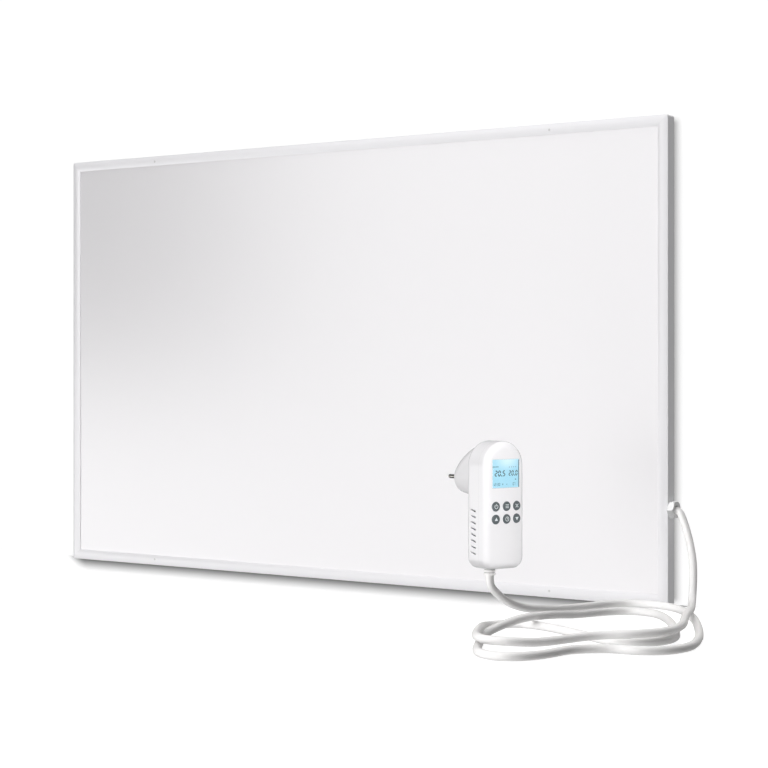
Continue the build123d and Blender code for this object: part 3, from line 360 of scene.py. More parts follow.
def finish_of(name, colour, tint, roughness, swing, cells, depth, patches, amount, **plain):
    """A real finish: drifting tone, grain in the relief, and gloss that swings with the grain's mottle."""
    material = bpy.data.materials.new(name)
    material.use_nodes = True
    tree, node, link = wiring(material)
    shader = tree.nodes["Principled BSDF"]
    grain = node("ShaderNodeGroup", node_tree=grain_tree)
    grain.inputs["Cells per metre"].default_value = cells
    grain.inputs["Depth"].default_value = depth
    drift = node("ShaderNodeGroup", node_tree=drift_tree)
    drift.inputs["Colour"].default_value = (*colour, 1)
    drift.inputs["Tint"].default_value = (*tint, 1)
    drift.inputs["Patches per metre"].default_value = patches
    drift.inputs["Amount"].default_value = amount
    gloss = node("ShaderNodeMapRange")
    gloss.inputs["To Min"].default_value = roughness - swing
    gloss.inputs["To Max"].default_value = roughness + swing
    link(grain.outputs["Mottle"], gloss.inputs["Value"])
    link(gloss.outputs["Result"], shader.inputs["Roughness"])
    link(grain.outputs["Normal"], shader.inputs["Normal"])
    link(drift.outputs["Colour"], shader.inputs["Base Color"])
    for socket, value in plain.items():
        shader.inputs[socket.replace("_", " ")].default_value = value
    return material


def paint_rim_shade(material, colour, begins, full):
    """Paints shade: draws the tone toward a darker one where the surface turns away from the eye."""
    tree, node, link = wiring(material)
    base = tree.nodes["Principled BSDF"].inputs["Base Color"]
    tone = base.links[0].from_socket
    turned_away = node("ShaderNodeLayerWeight")
    rim = node("ShaderNodeMapRange", interpolation_type="SMOOTHSTEP")
    rim.inputs["From Min"].default_value = begins
    rim.inputs["From Max"].default_value = full
    rimmed = node("ShaderNodeMix", data_type="RGBA")
    rimmed.inputs["B"].default_value = (*colour, 1)
    link(turned_away.outputs["Facing"], rim.inputs["Value"])
    link(rim.outputs["Result"], rimmed.inputs["Factor"])
    link(tone, rimmed.inputs["A"])
    link(rimmed.outputs["Result"], base)


def made_of(slot):
    """The CAD pieces whose record names that finish."""
    parts = frame["record"]["subparts"]
    return [frame["nodes"][part["node"]] for part in parts if part["material_slot"] == slot]


def dress(slot, material):
    """Gives a finish to every CAD piece that takes it."""
    for piece in made_of(slot):
        piece.data.materials[0] = material


sheath = finish_of(
    "cord_grey", (0.80, 0.79, 0.785), (0.77, 0.755, 0.75), 0.45, 0.05, 1500, 0.05, 12, 0.5,
    Specular_IOR_Level=0.3,
)
# The cord's rims are drawn darker by view angle: painted shade.
paint_rim_shade(sheath, (0.52, 0.51, 0.50), 0.5, 1.0)
dress("cord_grey", sheath)
mains_cord.data.materials.append(sheath)
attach(mains_cord, "heater")
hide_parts("power_cord")

# ------------------------------------------------------------------ border
# Four lengths of one extrusion with a crowned face 14 mm wide, mitred and pushed onto die-cast corner keys.
# The border is powder coated in cool white, and the coat shows a hairline along each mitre.

mitre_offset = (panel_size[0] - panel_size[1]) / 2
mitre_half_width = 0.00018

seam_or_shade_tree, node, link, given, result = shared_group(
    "seam_or_shade_line",
    [
        ("Distance", "NodeSocketFloat", 0.0),
        ("Half width", "NodeSocketFloat", 0.0002),
        ("Colour", "NodeSocketColor", (0.8, 0.8, 0.8, 1)),
        ("Depth of tone", "NodeSocketFloat", 0.3),
    ],
    [("Colour", "NodeSocketColor"), ("Mask", "NodeSocketFloat")],
)
away = node("ShaderNodeMath", operation="ABSOLUTE")
within = node("ShaderNodeMapRange", interpolation_type="SMOOTHSTEP")
within.inputs["To Min"].default_value = 1.0
within.inputs["To Max"].default_value = 0.0
dark = node("ShaderNodeMath", operation="MULTIPLY")
shaded = node("ShaderNodeMix", data_type="RGBA")
shaded.inputs["B"].default_value = (0.05, 0.05, 0.05, 1)
link(given.outputs["Distance"], away.inputs[0])
link(away.outputs[0], within.inputs["Value"])
link(given.outputs["Half width"], within.inputs["From Max"])
link(within.outputs["Result"], dark.inputs[0])
link(given.outputs["Depth of tone"], dark.inputs[1])
link(dark.outputs[0], shaded.inputs["Factor"])
link(given.outputs["Colour"], shaded.inputs["A"])
link(shaded.outputs["Result"], result.inputs["Colour"])
link(within.outputs["Result"], result.inputs["Mask"])


def add_seam_or_shade(material, distance, half_width, depth):
    """Draws a dark line where the distance is zero, between the drifting tone and the shader: a seam, or
    painted shade in a groove.
    """
    tree, node, link = wiring(material)
    shader = tree.nodes["Principled BSDF"]
    tone = shader.inputs["Base Color"].links[0].from_socket
    seam = node("ShaderNodeGroup", node_tree=seam_or_shade_tree)
    seam.inputs["Half width"].default_value = half_width
    seam.inputs["Depth of tone"].default_value = depth
    link(distance, seam.inputs["Distance"])
    link(tone, seam.inputs["Colour"])
    link(seam.outputs["Colour"], shader.inputs["Base Color"])


border_paint = finish_of(
    "border_white", (0.905, 0.895, 0.92), (0.88, 0.87, 0.89), 0.34, 0.04, 1100, 0.05, 5, 0.5,
    Coat_Weight=0.3, Coat_Roughness=0.25,
)
tree, node, link = wiring(border_paint)
place = node("ShaderNodeTexCoord")
apart = node("ShaderNodeSeparateXYZ")
sideways = node("ShaderNodeMath", operation="ABSOLUTE")
upwards = node("ShaderNodeMath", operation="ABSOLUTE")
past = node("ShaderNodeMath", operation="SUBTRACT")
to_mitre = node("ShaderNodeMath", operation="SUBTRACT")
to_mitre.inputs[1].default_value = mitre_offset
link(place.outputs["Object"], apart.inputs[0])
link(apart.outputs["X"], sideways.inputs[0])
link(apart.outputs["Z"], upwards.inputs[0])
link(sideways.outputs[0], past.inputs[0])
link(upwards.outputs[0], past.inputs[1])
link(past.outputs[0], to_mitre.inputs[0])
add_seam_or_shade(border_paint, to_mitre.outputs[0], mitre_half_width, 0.15)
dress("border_white", border_paint)

# The cord's grip under the thermostat has two moulded grooves, drawn as dark lines of painted shade
grip_middle = -0.2412
groove_from_middle = 0.0017
grip_skin = finish_of(
    "cord_grip_grey", (0.80, 0.79, 0.785), (0.77, 0.755, 0.75), 0.45, 0.05, 1500, 0.05, 12, 0.5,
    Specular_IOR_Level=0.3,
)
# The grip's rims are drawn darker by view angle: painted shade.
paint_rim_shade(grip_skin, (0.48, 0.47, 0.46), 0.4, 1.0)
tree, node, link = wiring(grip_skin)
place = node("ShaderNodeTexCoord")
apart = node("ShaderNodeSeparateXYZ")
level = node("ShaderNodeMath", operation="SUBTRACT")
off_middle = node("ShaderNodeMath", operation="ABSOLUTE")
to_groove = node("ShaderNodeMath", operation="SUBTRACT")
level.inputs[1].default_value = grip_middle
to_groove.inputs[1].default_value = groove_from_middle
link(place.outputs["Object"], apart.inputs[0])
link(apart.outputs["Z"], level.inputs[0])
link(level.outputs[0], off_middle.inputs[0])
link(off_middle.outputs[0], to_groove.inputs[0])
add_seam_or_shade(grip_skin, to_groove.outputs[0], 0.0009, 0.6)
frame["nodes"]["cord_grip"].data.materials[0] = grip_skin

# Corner keys are zinc castings, left as cast, with the coarse grain of the mould
dress(
    "key_casting",
    finish_of(
        "key_casting", (0.40, 0.41, 0.42), (0.30, 0.31, 0.32), 0.5, 0.1, 700, 0.4, 40, 0.7, Metallic=1.0,
    ),
)

# ------------------------------------------------------------------ radiating front
# A sheet of steel 1.2 mm thick, stove enamelled to a smooth cool-white satin. It slides in the border's
# groove, and four small rivets through the border hold it.

dress(
    "plate_white",
    finish_of(
        "plate_white", (0.785, 0.768, 0.787), (0.775, 0.758, 0.777), 0.31, 0.03, 600, 0.015, 3, 0.5,
        Coat_Weight=1.0, Coat_Roughness=0.28,
    ),
)

# ------------------------------------------------------------------ heating layers
# Behind the plate lie a printed carbon film with two copper bars, a crumpled reflector foil and a slab of
# pressed mineral fibre. None of them shows from outside, and each has the plain finish of its stock.

film_paint = finish_of(
    "carbon_film", (0.035, 0.035, 0.04), (0.06, 0.06, 0.065), 0.6, 0.08, 800, 0.1, 60, 0.6
)
strip_pitch = 0.016
tree, node, link = wiring(film_paint)
shader = tree.nodes["Principled BSDF"]
place = node("ShaderNodeTexCoord")
apart = node("ShaderNodeSeparateXYZ")
strips = node("ShaderNodeMath", operation="PINGPONG")
strips.inputs[1].default_value = strip_pitch / 2
edges = node("ShaderNodeMapRange")
edges.inputs["From Min"].default_value = strip_pitch * 0.40
edges.inputs["From Max"].default_value = strip_pitch * 0.44
bare = node("ShaderNodeMix", data_type="RGBA")
bare.inputs["B"].default_value = (0.30, 0.29, 0.25, 1)
tone = shader.inputs["Base Color"].links[0].from_socket
link(place.outputs["Object"], apart.inputs[0])
link(apart.outputs["Z"], strips.inputs[0])
link(strips.outputs[0], edges.inputs["Value"])
link(edges.outputs["Result"], bare.inputs["Factor"])
link(tone, bare.inputs["A"])
link(bare.outputs["Result"], shader.inputs["Base Color"])
dress("carbon_film", film_paint)
dress(
    "copper",
    finish_of("copper", (0.80, 0.42, 0.27), (0.55, 0.27, 0.17), 0.3, 0.1, 500, 0.1, 50, 0.6, Metallic=1.0),
)
dress(
    "foil",
    finish_of("foil", (0.86, 0.87, 0.88), (0.78, 0.79, 0.80), 0.22, 0.1, 160, 1.0, 40, 0.5, Metallic=1.0),
)
dress(
    "mineral_board",
    finish_of("mineral_board", (0.66, 0.61, 0.47), (0.52, 0.46, 0.33), 0.95, 0.03, 900, 1.0, 120, 0.8),
)

# ------------------------------------------------------------------ back and hangers
# The rear cover is 1 mm sheet, powder coated a shade greyer than the front, held by fourteen screws. Four
# folded brackets with keyholes are riveted to it, in zinc-plated steel with the plating's faint bloom.

dress(
    "cover_white",
    finish_of("cover_white", (0.74, 0.735, 0.75), (0.70, 0.695, 0.71), 0.5, 0.06, 900, 0.25, 6, 0.6),
)

zinc = finish_of(
    "zinc_steel", (0.62, 0.63, 0.65), (0.50, 0.52, 0.55), 0.34, 0.08, 900, 0.06, 90, 0.6, Metallic=1.0
)
tree, node, link = wiring(zinc)
shader = tree.nodes["Principled BSDF"]
place = node("ShaderNodeTexCoord")
bloom = node("ShaderNodeTexVoronoi")
bloom.inputs["Scale"].default_value = 260
bloom_tone = node("ShaderNodeMapRange")
bloom_tone.inputs["To Min"].default_value = 0.88
bloom_tone.inputs["To Max"].default_value = 1.06
bloomed = node("ShaderNodeVectorMath", operation="SCALE")
tone = shader.inputs["Base Color"].links[0].from_socket
link(place.outputs["Object"], bloom.inputs["Vector"])
link(bloom.outputs["Color"], bloom_tone.inputs["Value"])
link(tone, bloomed.inputs[0])
link(bloom_tone.outputs["Result"], bloomed.inputs["Scale"])
link(bloomed.outputs[0], shader.inputs["Base Color"])
dress("zinc_steel", zinc)
frame["nodes"]["plate_rivets"].data.materials[0] = finish_of(
    "rivet_coat", (0.70, 0.69, 0.70), (0.62, 0.61, 0.62), 0.45, 0.06, 1500, 0.1, 200, 0.5, Coat_Weight=0.3,
)

# ------------------------------------------------------------------ cable gland
# A hexagonal nylon gland, 20 mm across flats, clamps the cord where it leaves the border's right side. It is
# moulded in light grey, with the smooth skin that nylon takes from a polished tool.

dress(
    "gland_grey",
    finish_of(
        "gland_grey", (0.70, 0.70, 0.70), (0.64, 0.64, 0.64), 0.28, 0.05, 1800, 0.04, 60, 0.4,
        Coat_Weight=0.3, Coat_Roughness=0.2,
    ),
)

# ------------------------------------------------------------------ wiring behind the plate
# A steatite terminal block, a thermal cut-out, an earth stud and PVC-covered wires fill the pocket behind
# the plate. They can't be seen when the cover is on.

dress(
    "terminal_cream",
    finish_of("terminal_cream", (0.75, 0.70, 0.57), (0.68, 0.62, 0.49), 0.6, 0.08, 1200, 0.3, 90, 0.5),
)
dress(
    "bakelite",
    finish_of("bakelite", (0.035, 0.026, 0.022), (0.06, 0.04, 0.03), 0.35, 0.08, 1500, 0.1, 120, 0.6),
)
dress(
    "wire_brown",
    finish_of("wire_brown", (0.13, 0.055, 0.025), (0.09, 0.04, 0.02), 0.4, 0.06, 2500, 0.1, 60, 0.5),
)
dress(
    "wire_blue",
    finish_of("wire_blue", (0.03, 0.10, 0.40), (0.02, 0.07, 0.30), 0.4, 0.06, 2500, 0.1, 60, 0.5),
)
earth_sleeve = finish_of(
    "wire_green_yellow", (0.06, 0.30, 0.05), (0.05, 0.24, 0.04), 0.4, 0.06, 2500, 0.1, 60, 0.5
)
tree, node, link = wiring(earth_sleeve)
shader = tree.nodes["Principled BSDF"]
place = node("ShaderNodeTexCoord")
stripes = node("ShaderNodeTexWave", bands_direction="DIAGONAL")
stripes.inputs["Scale"].default_value = 60
stripe_edge = node("ShaderNodeMapRange")
stripe_edge.inputs["From Min"].default_value = 0.55
stripe_edge.inputs["From Max"].default_value = 0.65
striped = node("ShaderNodeMix", data_type="RGBA")
striped.inputs["B"].default_value = (0.75, 0.60, 0.03, 1)
tone = shader.inputs["Base Color"].links[0].from_socket
link(place.outputs["Object"], stripes.inputs["Vector"])
link(stripes.outputs["Fac"], stripe_edge.inputs["Value"])
link(stripe_edge.outputs["Result"], striped.inputs["Factor"])
link(tone, striped.inputs["A"])
link(striped.outputs["Result"], shader.inputs["Base Color"])
dress("wire_green_yellow", earth_sleeve)

# ------------------------------------------------------------------ thermostat housing
# Two shells of glossy white ABS, 145 mm tall, meet on a fine parting line. The rear one swells into a round
# boss that carries the plug. It stands turned 71.5 degrees, its display looking out over the floor.

unit_middle = np.array([0.4032, -0.2649, -0.1642])
unit_turn = np.radians(71.5)
unit_across = np.array([np.cos(unit_turn), np.sin(unit_turn), 0])
unit_backwards = np.array([-np.sin(unit_turn), np.cos(unit_turn), 0])
unit_up = np.array([0, 0, 1])
unit_face = -0.0195
unit_crown = 0.150
parting = -0.004

housing_paint = finish_of(
    "housing_white", (0.80, 0.79, 0.805), (0.785, 0.775, 0.79), 0.26, 0.03, 2200, 0.015, 20, 0.4,
    Coat_Weight=0.1, Coat_Roughness=0.14, Specular_IOR_Level=0.25,
)
tree, node, link = wiring(housing_paint)
place = node("ShaderNodeTexCoord")
turned = node("ShaderNodeMapping", vector_type="TEXTURE")
turned.inputs["Location"].default_value = unit_middle
turned.inputs["Rotation"].default_value = (0, 0, unit_turn)
apart = node("ShaderNodeSeparateXYZ")
to_parting = node("ShaderNodeMath", operation="SUBTRACT")
to_parting.inputs[1].default_value = parting
link(place.outputs["Object"], turned.inputs["Vector"])
link(turned.outputs["Vector"], apart.inputs[0])
link(apart.outputs["Y"], to_parting.inputs[0])
add_seam_or_shade(housing_paint, to_parting.outputs[0], 0.00022, 0.18)

# The housing's inside, seen through the vents, is painted dark: painted shade
inside_middle = (0, 0.0012, -0.030)
inside_half = (0.0283, 0.0052, 0.030)
off_middle = node("ShaderNodeVectorMath", operation="SUBTRACT")
apart_from = node("ShaderNodeVectorMath", operation="ABSOLUTE")
past_half = node("ShaderNodeVectorMath", operation="SUBTRACT")
sides = node("ShaderNodeSeparateXYZ")
across_or_deep = node("ShaderNodeMath", operation="MAXIMUM")
farthest = node("ShaderNodeMath", operation="MAXIMUM")
inside = node("ShaderNodeMath", operation="LESS_THAN")
inside_shade = node("ShaderNodeMix", data_type="RGBA")
off_middle.inputs[1].default_value = inside_middle
past_half.inputs[1].default_value = inside_half
inside.inputs[1].default_value = 0
inside_shade.inputs["B"].default_value = (0.05, 0.05, 0.055, 1)
base = tree.nodes["Principled BSDF"].inputs["Base Color"]
link(base.links[0].from_socket, inside_shade.inputs["A"])
link(turned.outputs["Vector"], off_middle.inputs[0])
link(off_middle.outputs[0], apart_from.inputs[0])
link(apart_from.outputs[0], past_half.inputs[0])
link(past_half.outputs[0], sides.inputs[0])
link(sides.outputs["X"], across_or_deep.inputs[0])
link(sides.outputs["Y"], across_or_deep.inputs[1])
link(across_or_deep.outputs[0], farthest.inputs[0])
link(sides.outputs["Z"], farthest.inputs[1])
link(farthest.outputs[0], inside.inputs[0])
link(inside.outputs[0], inside_shade.inputs["Factor"])
link(inside_shade.outputs["Result"], base)
# The housing's rims are drawn darker by view angle: painted shade.
paint_rim_shade(housing_paint, (0.42, 0.42, 0.43), 0.6, 1.0)
dress("housing_white", housing_paint)

# ------------------------------------------------------------------ display
# A clear window, crowned like the face, is bonded over a backlit liquid-crystal panel. The panel glows pale
# cyan, brightest near the top, and shows room and set temperatures, the time and a few plain marks.

window_z = 0.0360
window_size = (0.0394, 0.0326)
window_pane = 0.0014
lit_inset = 0.0003
lit_thickness = 0.0002
ink_height = 0.00006


def place_on_face(across, up, depth):
    """Points of the row frame for points across and up the thermostat's face, set back from its crown."""
    across, up, depth = (np.asarray(value, float) for value in (across, up, depth))
    back = unit_face + unit_crown - np.sqrt(unit_crown**2 - across**2) + depth
    return (
        unit_middle
        + across[..., None] * unit_across
        + back[..., None] * unit_backwards
        + up[..., None] * unit_up
    )


def add_piece(name, points, faces, material, body):
    """A mesh at the origin with its place in its vertices, dressed and riding on a body."""
    mesh = bpy.data.meshes.new(name)
    mesh.from_pydata(np.asarray(points).tolist(), [], faces)
    mesh.update()
    mesh.materials.append(material)
    piece = bpy.data.objects.new(name, mesh)
    bpy.context.scene.collection.objects.link(piece)
    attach(piece, body)
    return piece


def crowned_slab(columns, rows, half_width, half_height, middle_up, front, back):
    """A slab between two depths under the crowned face: two grids over it, joined round their edge."""
    across, up = np.meshgrid(
        np.linspace(-half_width, half_width, columns),
        middle_up + np.linspace(-half_height, half_height, rows),
    )
    near = place_on_face(across, up, np.full(across.shape, front)).reshape(-1, 3)
    far = place_on_face(across, up, np.full(across.shape, back)).reshape(-1, 3)
    index = np.arange(rows * columns).reshape(rows, columns)
    a, b, c, d = index[:-1, :-1], index[:-1, 1:], index[1:, 1:], index[1:, :-1]
    shown = np.stack([a, b, c, d], -1).reshape(-1, 4)
    hidden = shown[:, ::-1] + rows * columns
    rim = np.concatenate([index[0, :-1], index[:-1, -1], index[-1, :0:-1], index[:0:-1, 0]])
    following = np.roll(rim, -1)
    sides = np.stack([rim, rim + rows * columns, following + rows * columns, following], -1)
    return np.concatenate([near, far]), np.concatenate([shown, hidden, sides]).tolist()


backlight = bpy.data.materials.new("display_backlight")
backlight.use_nodes = True
tree, node, link = wiring(backlight)
shader = tree.nodes["Principled BSDF"]
place = node("ShaderNodeTexCoord")
centred = node("ShaderNodeMapping", vector_type="TEXTURE")
centred.inputs["Location"].default_value = unit_middle + 0.002 * unit_across + 0.052 * unit_up
centred.inputs["Rotation"].default_value = (0, 0, unit_turn)
centred.inputs["Scale"].default_value = (0.025, 0.1, 0.0155)
glow = node("ShaderNodeTexGradient", gradient_type="SPHERICAL")
soft = node("ShaderNodeMapRange", interpolation_type="SMOOTHSTEP")
soft.inputs["To Max"].default_value = 0.9
drift = node("ShaderNodeGroup", node_tree=drift_tree)
drift.inputs["Colour"].default_value = (0.36, 0.66, 0.80, 1)
drift.inputs["Tint"].default_value = (0.27, 0.58, 0.75, 1)
drift.inputs["Patches per metre"].default_value = 60
drift.inputs["Amount"].default_value = 0.5
lit = node("ShaderNodeMix", data_type="RGBA")
lit.inputs["B"].default_value = (0.86, 0.98, 1.0, 1)
link(place.outputs["Object"], centred.inputs["Vector"])
link(centred.outputs["Vector"], glow.inputs["Vector"])
link(glow.outputs["Fac"], soft.inputs["Value"])
link(soft.outputs["Result"], lit.inputs["Factor"])
link(drift.outputs["Colour"], lit.inputs["A"])
link(lit.outputs["Result"], shader.inputs["Emission Color"])
shader.inputs["Emission Strength"].default_value = 0.76
shader.inputs["Base Color"].default_value = (0.12, 0.22, 0.26, 1)
shader.inputs["Roughness"].default_value = 0.4

points, faces = crowned_slab(
    25, 3, window_size[0] / 2 - lit_inset, window_size[1] / 2 - lit_inset, window_z,
    window_pane - 2 * lit_thickness, window_pane - lit_thickness,
)
add_piece("display_panel", points, faces, backlight, "heater")


def printed(outlines, front, thickness):
    """Thin solid shapes on the face, one for each convex or open outline, closed at front, back and sides."""
    points, faces = [], []
    for outline in outlines:
        across, up = np.asarray(outline, float).T
        start, count = len(points), len(across)
        points += place_on_face(across, up, front + 0 * across).tolist()
        points += place_on_face(across, up, front + thickness + 0 * across).tolist()
        faces.append(list(range(start, start + count)))
        faces.append(list(range(start + 2 * count - 1, start + count - 1, -1)))
        for i in range(count):
            j = (i + 1) % count
            faces.append([start + i, start + count + i, start + count + j, start + j])
    return points, faces


segments_of = {
    0: "abcdef", 1: "bc", 2: "abdeg", 3: "abcdg", 4: "bcfg", 5: "acdfg", 6: "acdefg", 7: "abc", 8: "abcdefg",
    9: "abcdfg",
}


def digit(value, left, middle, width, height, bar):
    """The lit bars of one seven-segment digit, each a bar with pointed ends, leaning slightly."""
    lean = 0.08
    half = height / 2
    level = {"a": half - bar / 2, "g": 0, "d": -half + bar / 2}
    outlines = []
    for segment in segments_of[value]:
        if segment in level:
            y = level[segment]
            x0, x1 = bar * 0.6, width - bar * 0.6
            shape = [(x0, y), (x0 + bar / 2, y - bar / 2), (x1 - bar / 2, y - bar / 2), (x1, y),
                     (x1 - bar / 2, y + bar / 2), (x0 + bar / 2, y + bar / 2)]
        else:
            x = width - bar / 2 if segment in "bc" else bar / 2
            y0, y1 = (bar * 0.15, half - bar * 0.6) if segment in "bf" else (-half + bar * 0.6, -bar * 0.15)
            shape = [(x, y0), (x + bar / 2, y0 + bar / 2), (x + bar / 2, y1 - bar / 2), (x, y1),
                     (x - bar / 2, y1 - bar / 2), (x - bar / 2, y0 + bar / 2)]
        outlines.append([(left + px + lean * py, middle + py) for px, py in shape])
    return outlines


def block(left, right, low, high):
    """A plain rectangular mark."""
    return [(left, low), (right, low), (right, high), (left, high)]


def number(text, left, middle, width, height, bar, gap):
    """A row of digits with small square points and colons."""
    outlines = []
    for sign in text:
        if sign == ".":
            outlines.append(block(left, left + bar, middle - height / 2, middle - height / 2 + bar))
            left += bar + gap
        elif sign == ":":
            for side in (-1, 1):
                y = middle + side * height / 5
                outlines.append(block(left, left + bar, y - bar / 2, y + bar / 2))
            left += bar + gap
        else:
            outlines += digit(int(sign), left, middle, width, height, bar)
            left += width + gap
    return outlines


window_left = -window_size[0] / 2
reading_middle = window_z + 0.0003
small_middle = window_z - 0.0121
small_digit = (0.0019, 0.0035, 0.0006, 0.0004)
bar_pitch = 0.0021
reading = number("20.5", window_left + 0.0034, reading_middle, 0.0039, 0.0069, 0.0013, 0.0006)
reading += number("20.0", window_left + 0.0232, reading_middle, 0.0036, 0.0063, 0.0012, 0.0006)
small_marks = number("12:30", window_left + 0.0010, small_middle, *small_digit)
small_marks += number("07", window_left + 0.0292, small_middle, *small_digit)
small_marks += [
    block(
        window_left + 0.0006 + bar_pitch * i, window_left + 0.0022 + bar_pitch * i,
        window_z + 0.0073, window_z + 0.0083,
    )
    for i in range(4)
]
small_marks += [
    block(window_left + x, window_left + x + 0.0012, window_z + 0.0068, window_z + 0.0076)
    for x in (0.0236, 0.0268, 0.0300, 0.0332)
]
small_marks += [
    block(window_left + 0.0140, window_left + 0.0150, window_z - 0.0130, window_z - 0.0112),
    block(window_left + 0.0200, window_left + 0.0208, window_z - 0.0130, window_z - 0.0116),
    block(window_left + 0.0328, window_left + 0.0346, window_z - 0.0075, window_z - 0.0063),
]
# A dark bar runs down the display's right edge
edge_bar = [block(window_left + 0.0381, window_left + 0.0389, window_z - 0.0158, window_z + 0.0150)]

ink = finish_of("display_ink", (0.012, 0.06, 0.08), (0.025, 0.08, 0.11), 0.5, 0.05, 3000, 0.02, 200, 0.4)
pale_ink = finish_of(
    "display_pale_ink", (0.06, 0.20, 0.27), (0.09, 0.25, 0.33), 0.5, 0.05, 3000, 0.02, 200, 0.4
)
ink_front = window_pane - 2 * lit_thickness - ink_height
for name, outlines, material in (
    ("display_reading", reading, ink),
    ("display_small_marks", small_marks, pale_ink),
    ("display_edge_bar", edge_bar, ink),
):
    points, faces = printed(outlines, ink_front, ink_height)
    add_piece(name, points, faces, material, "heater")

dress(
    "display_blue",
    finish_of("display_blue", (0.26, 0.60, 0.79), (0.22, 0.54, 0.72), 0.4, 0.05, 2500, 0.05, 80, 0.4),
)
pane = finish_of(
    "window_clear", (0.97, 0.99, 1.0), (0.95, 0.98, 0.99), 0.05, 0.02, 2000, 0.004, 60, 0.3,
    Transmission_Weight=1.0, IOR=1.45,
)
dress("window_clear", pane)

# ------------------------------------------------------------------ keys
# Six soft-touch keys in dark grey silicone, each 10.6 mm across, stand 0.9 mm proud of the face. A pale mark
# is printed on each: a power ring, menu lines, a cross, an upward and a downward arrowhead and a clock.

key_proud = 0.0009
key_pitch = (0.0152, 0.0145)
key_top = -0.001
print_height = 0.00005

dress(
    "key_grey",
    finish_of("key_grey", (0.070, 0.085, 0.092), (0.095, 0.112, 0.119), 0.5, 0.08, 2600, 0.12, 150, 0.6),
)
key_print = finish_of("key_print", (0.72, 0.76, 0.77), (0.64, 0.68, 0.70), 0.55, 0.05, 3000, 0.05, 300, 0.5)


def arc(radius, width, start, end, steps=24):
    """A bent bar of one width: an outer arc, and an inner arc walked back. Angles in degrees."""
    turn = np.radians(np.linspace(start, end, steps))
    outer = np.c_[np.cos(turn), np.sin(turn)] * (radius + width / 2)
    inner = np.c_[np.cos(turn), np.sin(turn)][::-1] * (radius - width / 2)
    return np.concatenate([outer, inner]).tolist()


def bar_between(start, end, width):
    """A straight bar from one point to another."""
    start, end = np.array(start), np.array(end)
    along = (end - start) / np.linalg.norm(end - start)
    off = np.array([-along[1], along[0]]) * width / 2
    return [tuple(p) for p in (start - off, end - off, end + off, start + off)]


mm = 0.001
key_marks = {
    "power": [arc(2.3 * mm, 0.7 * mm, 125, 415), block(-0.35 * mm, 0.35 * mm, 0.4 * mm, 3.1 * mm)],
    "menu": [block(-2.4 * mm, 2.4 * mm, y * mm - 0.35 * mm, y * mm + 0.35 * mm) for y in (-1.7, 0, 1.7)],
    "cancel": [
        bar_between((-1.9 * mm, -1.9 * mm), (1.9 * mm, 1.9 * mm), 0.8 * mm),
        bar_between((-1.9 * mm, 1.9 * mm), (-0.5 * mm, 0.5 * mm), 0.8 * mm),
        bar_between((0.5 * mm, -0.5 * mm), (1.9 * mm, -1.9 * mm), 0.8 * mm),
    ],
    "up": [[(-2.3 * mm, -1.5 * mm), (2.3 * mm, -1.5 * mm), (0, 2.3 * mm)]],
    "clock": [
        arc(2.4 * mm, 0.6 * mm, 0, 180),
        arc(2.4 * mm, 0.6 * mm, 180, 360),
        block(-0.3 * mm, 0.3 * mm, -0.3 * mm, 1.7 * mm),
        block(0.3 * mm, 1.5 * mm, -0.3 * mm, 0.3 * mm),
    ],
    "down": [[(-2.3 * mm, 1.5 * mm), (0, -2.3 * mm), (2.3 * mm, 1.5 * mm)]],
}


def crown_at(across):
    """Depth of the face's crown behind its front, at a distance across."""
    return unit_crown - np.sqrt(unit_crown**2 - across**2)


for number_of_key, (key, outlines) in enumerate(key_marks.items()):
    row, column = divmod(number_of_key, 3)
    middle = np.array([(column - 1) * key_pitch[0], key_top - row * key_pitch[1]])
    points, faces = printed(outlines, 0.0, print_height)
    flat = np.asarray(points)
    counted = 0
    for outline in outlines:
        count = len(outline)
        for layer in (0, 1):
            across, up = np.asarray(outline, float).T
            back = unit_face + crown_at(middle[0]) - key_proud + (layer - 1) * print_height
            rows = slice(counted + layer * count, counted + (layer + 1) * count)
            flat[rows] = (
                unit_middle
                + (across + middle[0])[:, None] * unit_across
                + back * unit_backwards
                + (up + middle[1])[:, None] * unit_up
            )
        counted += 2 * count
    add_piece(f"mark_{key}", flat, faces, key_print, f"key_{key}")

# ------------------------------------------------------------------ circuit board
# Behind the keys stands a green board with their switches, a relay, a transformer, a capacitor and a fuse.
# They only show as dark shapes through the vents.

board = finish_of("board_green", (0.012, 0.10, 0.045), (0.01, 0.07, 0.03), 0.35, 0.06, 1200, 0.15, 60, 0.5)
tree, node, link = wiring(board)
shader = tree.nodes["Principled BSDF"]
place = node("ShaderNodeTexCoord")
tracks = node("ShaderNodeTexBrick")
tracks.inputs["Scale"].default_value = 160
tracks.inputs["Mortar Size"].default_value = 0.06
tracks.inputs["Color1"].default_value = (0, 0, 0, 1)
tracks.inputs["Color2"].default_value = (0, 0, 0, 1)
tracks.inputs["Mortar"].default_value = (1, 1, 1, 1)
tracked = node("ShaderNodeMix", data_type="RGBA")
tracked.inputs["B"].default_value = (0.04, 0.22, 0.10, 1)
tone = shader.inputs["Base Color"].links[0].from_socket
link(place.outputs["Object"], tracks.inputs["Vector"])
link(tracks.outputs["Color"], tracked.inputs["Factor"])
link(tone, tracked.inputs["A"])
link(tracked.outputs["Result"], shader.inputs["Base Color"])
dress("board_green", board)
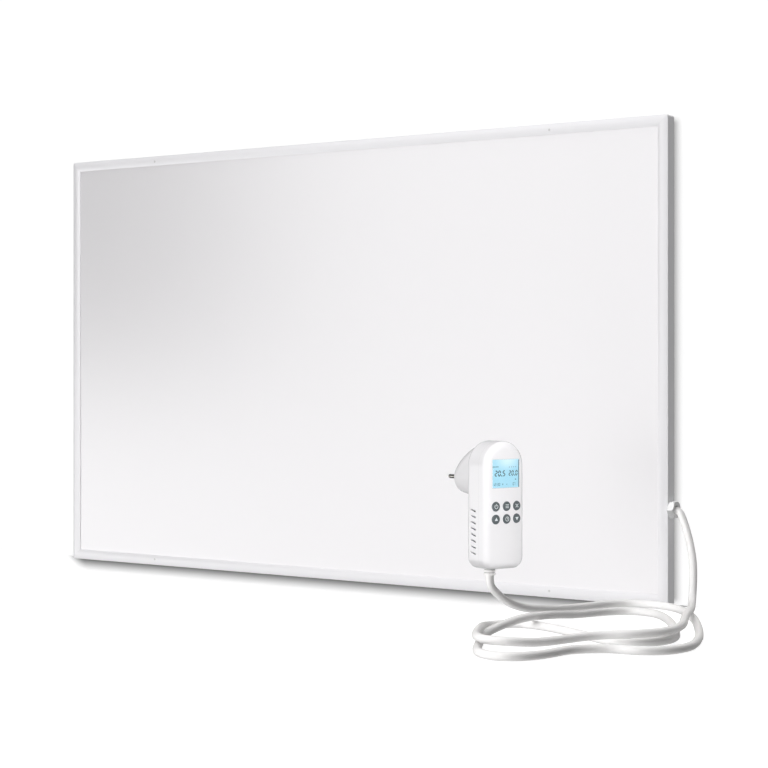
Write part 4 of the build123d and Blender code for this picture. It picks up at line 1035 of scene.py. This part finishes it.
for slot, colour, tint, roughness in (
    ("switch_black", (0.02, 0.02, 0.021), (0.03, 0.03, 0.031), 0.45),
    ("relay_blue", (0.02, 0.07, 0.26), (0.018, 0.055, 0.21), 0.4),
    ("transformer_black", (0.018, 0.018, 0.019), (0.028, 0.028, 0.03), 0.5),
    ("can_sleeve", (0.015, 0.015, 0.05), (0.02, 0.02, 0.07), 0.25),
):
    dress(slot, finish_of(slot, colour, tint, roughness, 0.06, 1800, 0.1, 120, 0.5))

# ------------------------------------------------------------------ plug
# Two nickel-plated pins and two earth clips stand in a round insert of pale grey plastic at the end of the
# boss. The pins are turned brass, and the plating is bright with faint lines of the lathe.

dress(
    "insert_grey",
    finish_of("insert_grey", (0.60, 0.60, 0.59), (0.54, 0.54, 0.53), 0.4, 0.05, 1800, 0.06, 90, 0.5),
)
nickel = finish_of(
    "nickel", (0.66, 0.64, 0.60), (0.56, 0.54, 0.50), 0.2, 0.06, 2600, 0.08, 150, 0.5, Metallic=1.0
)
# The pins' rims are drawn nearly black by view angle: a painted dark reflection.
paint_rim_shade(nickel, (0.01, 0.01, 0.01), 0.22, 0.5)
dress("nickel", nickel)

# ------------------------------------------------------------------ what the lamps light
# One lamp is for the panel's front alone, and the thermostat and cord throw no shadow from it. The others
# spare that front and the room, so that the thermostat and the cord are lit without changing the panel.

panel_front = [frame["nodes"][name] for name in (
    "frame_top", "frame_bottom", "frame_left", "frame_right", "front_plate", "plate_rivets"
)]
gland = [frame["nodes"][name] for name in ("gland_body", "gland_cap")]
for light, pieces, state in (
    (panel_lamp, panel_front, "INCLUDE"),
    (key_lamp, [*panel_front, wall, floor], "EXCLUDE"),
    (face_lamp, [*panel_front, *gland, wall, floor, mains_cord], "EXCLUDE"),
    (side_lamp, [*panel_front, *gland, wall, floor, mains_cord], "EXCLUDE"),
    (cord_lamp, [mains_cord, *gland], "INCLUDE"),
    (cord_fill, [mains_cord, frame["nodes"]["cord_grip"]], "INCLUDE"),
):
    linked = bpy.data.collections.new(f"{light.name}_pieces")
    for piece in pieces:
        linked.objects.link(piece)
    for entry in linked.collection_objects:
        entry.light_linking.link_state = state
    light.light_linking.receiver_collection = linked

# The satin plate mirrors the bright card, but not what stands before it
for name in ("housing_front", "housing_rear", "display_window", "cord_grip"):
    frame["nodes"][name].visible_glossy = False
mains_cord.visible_glossy = False
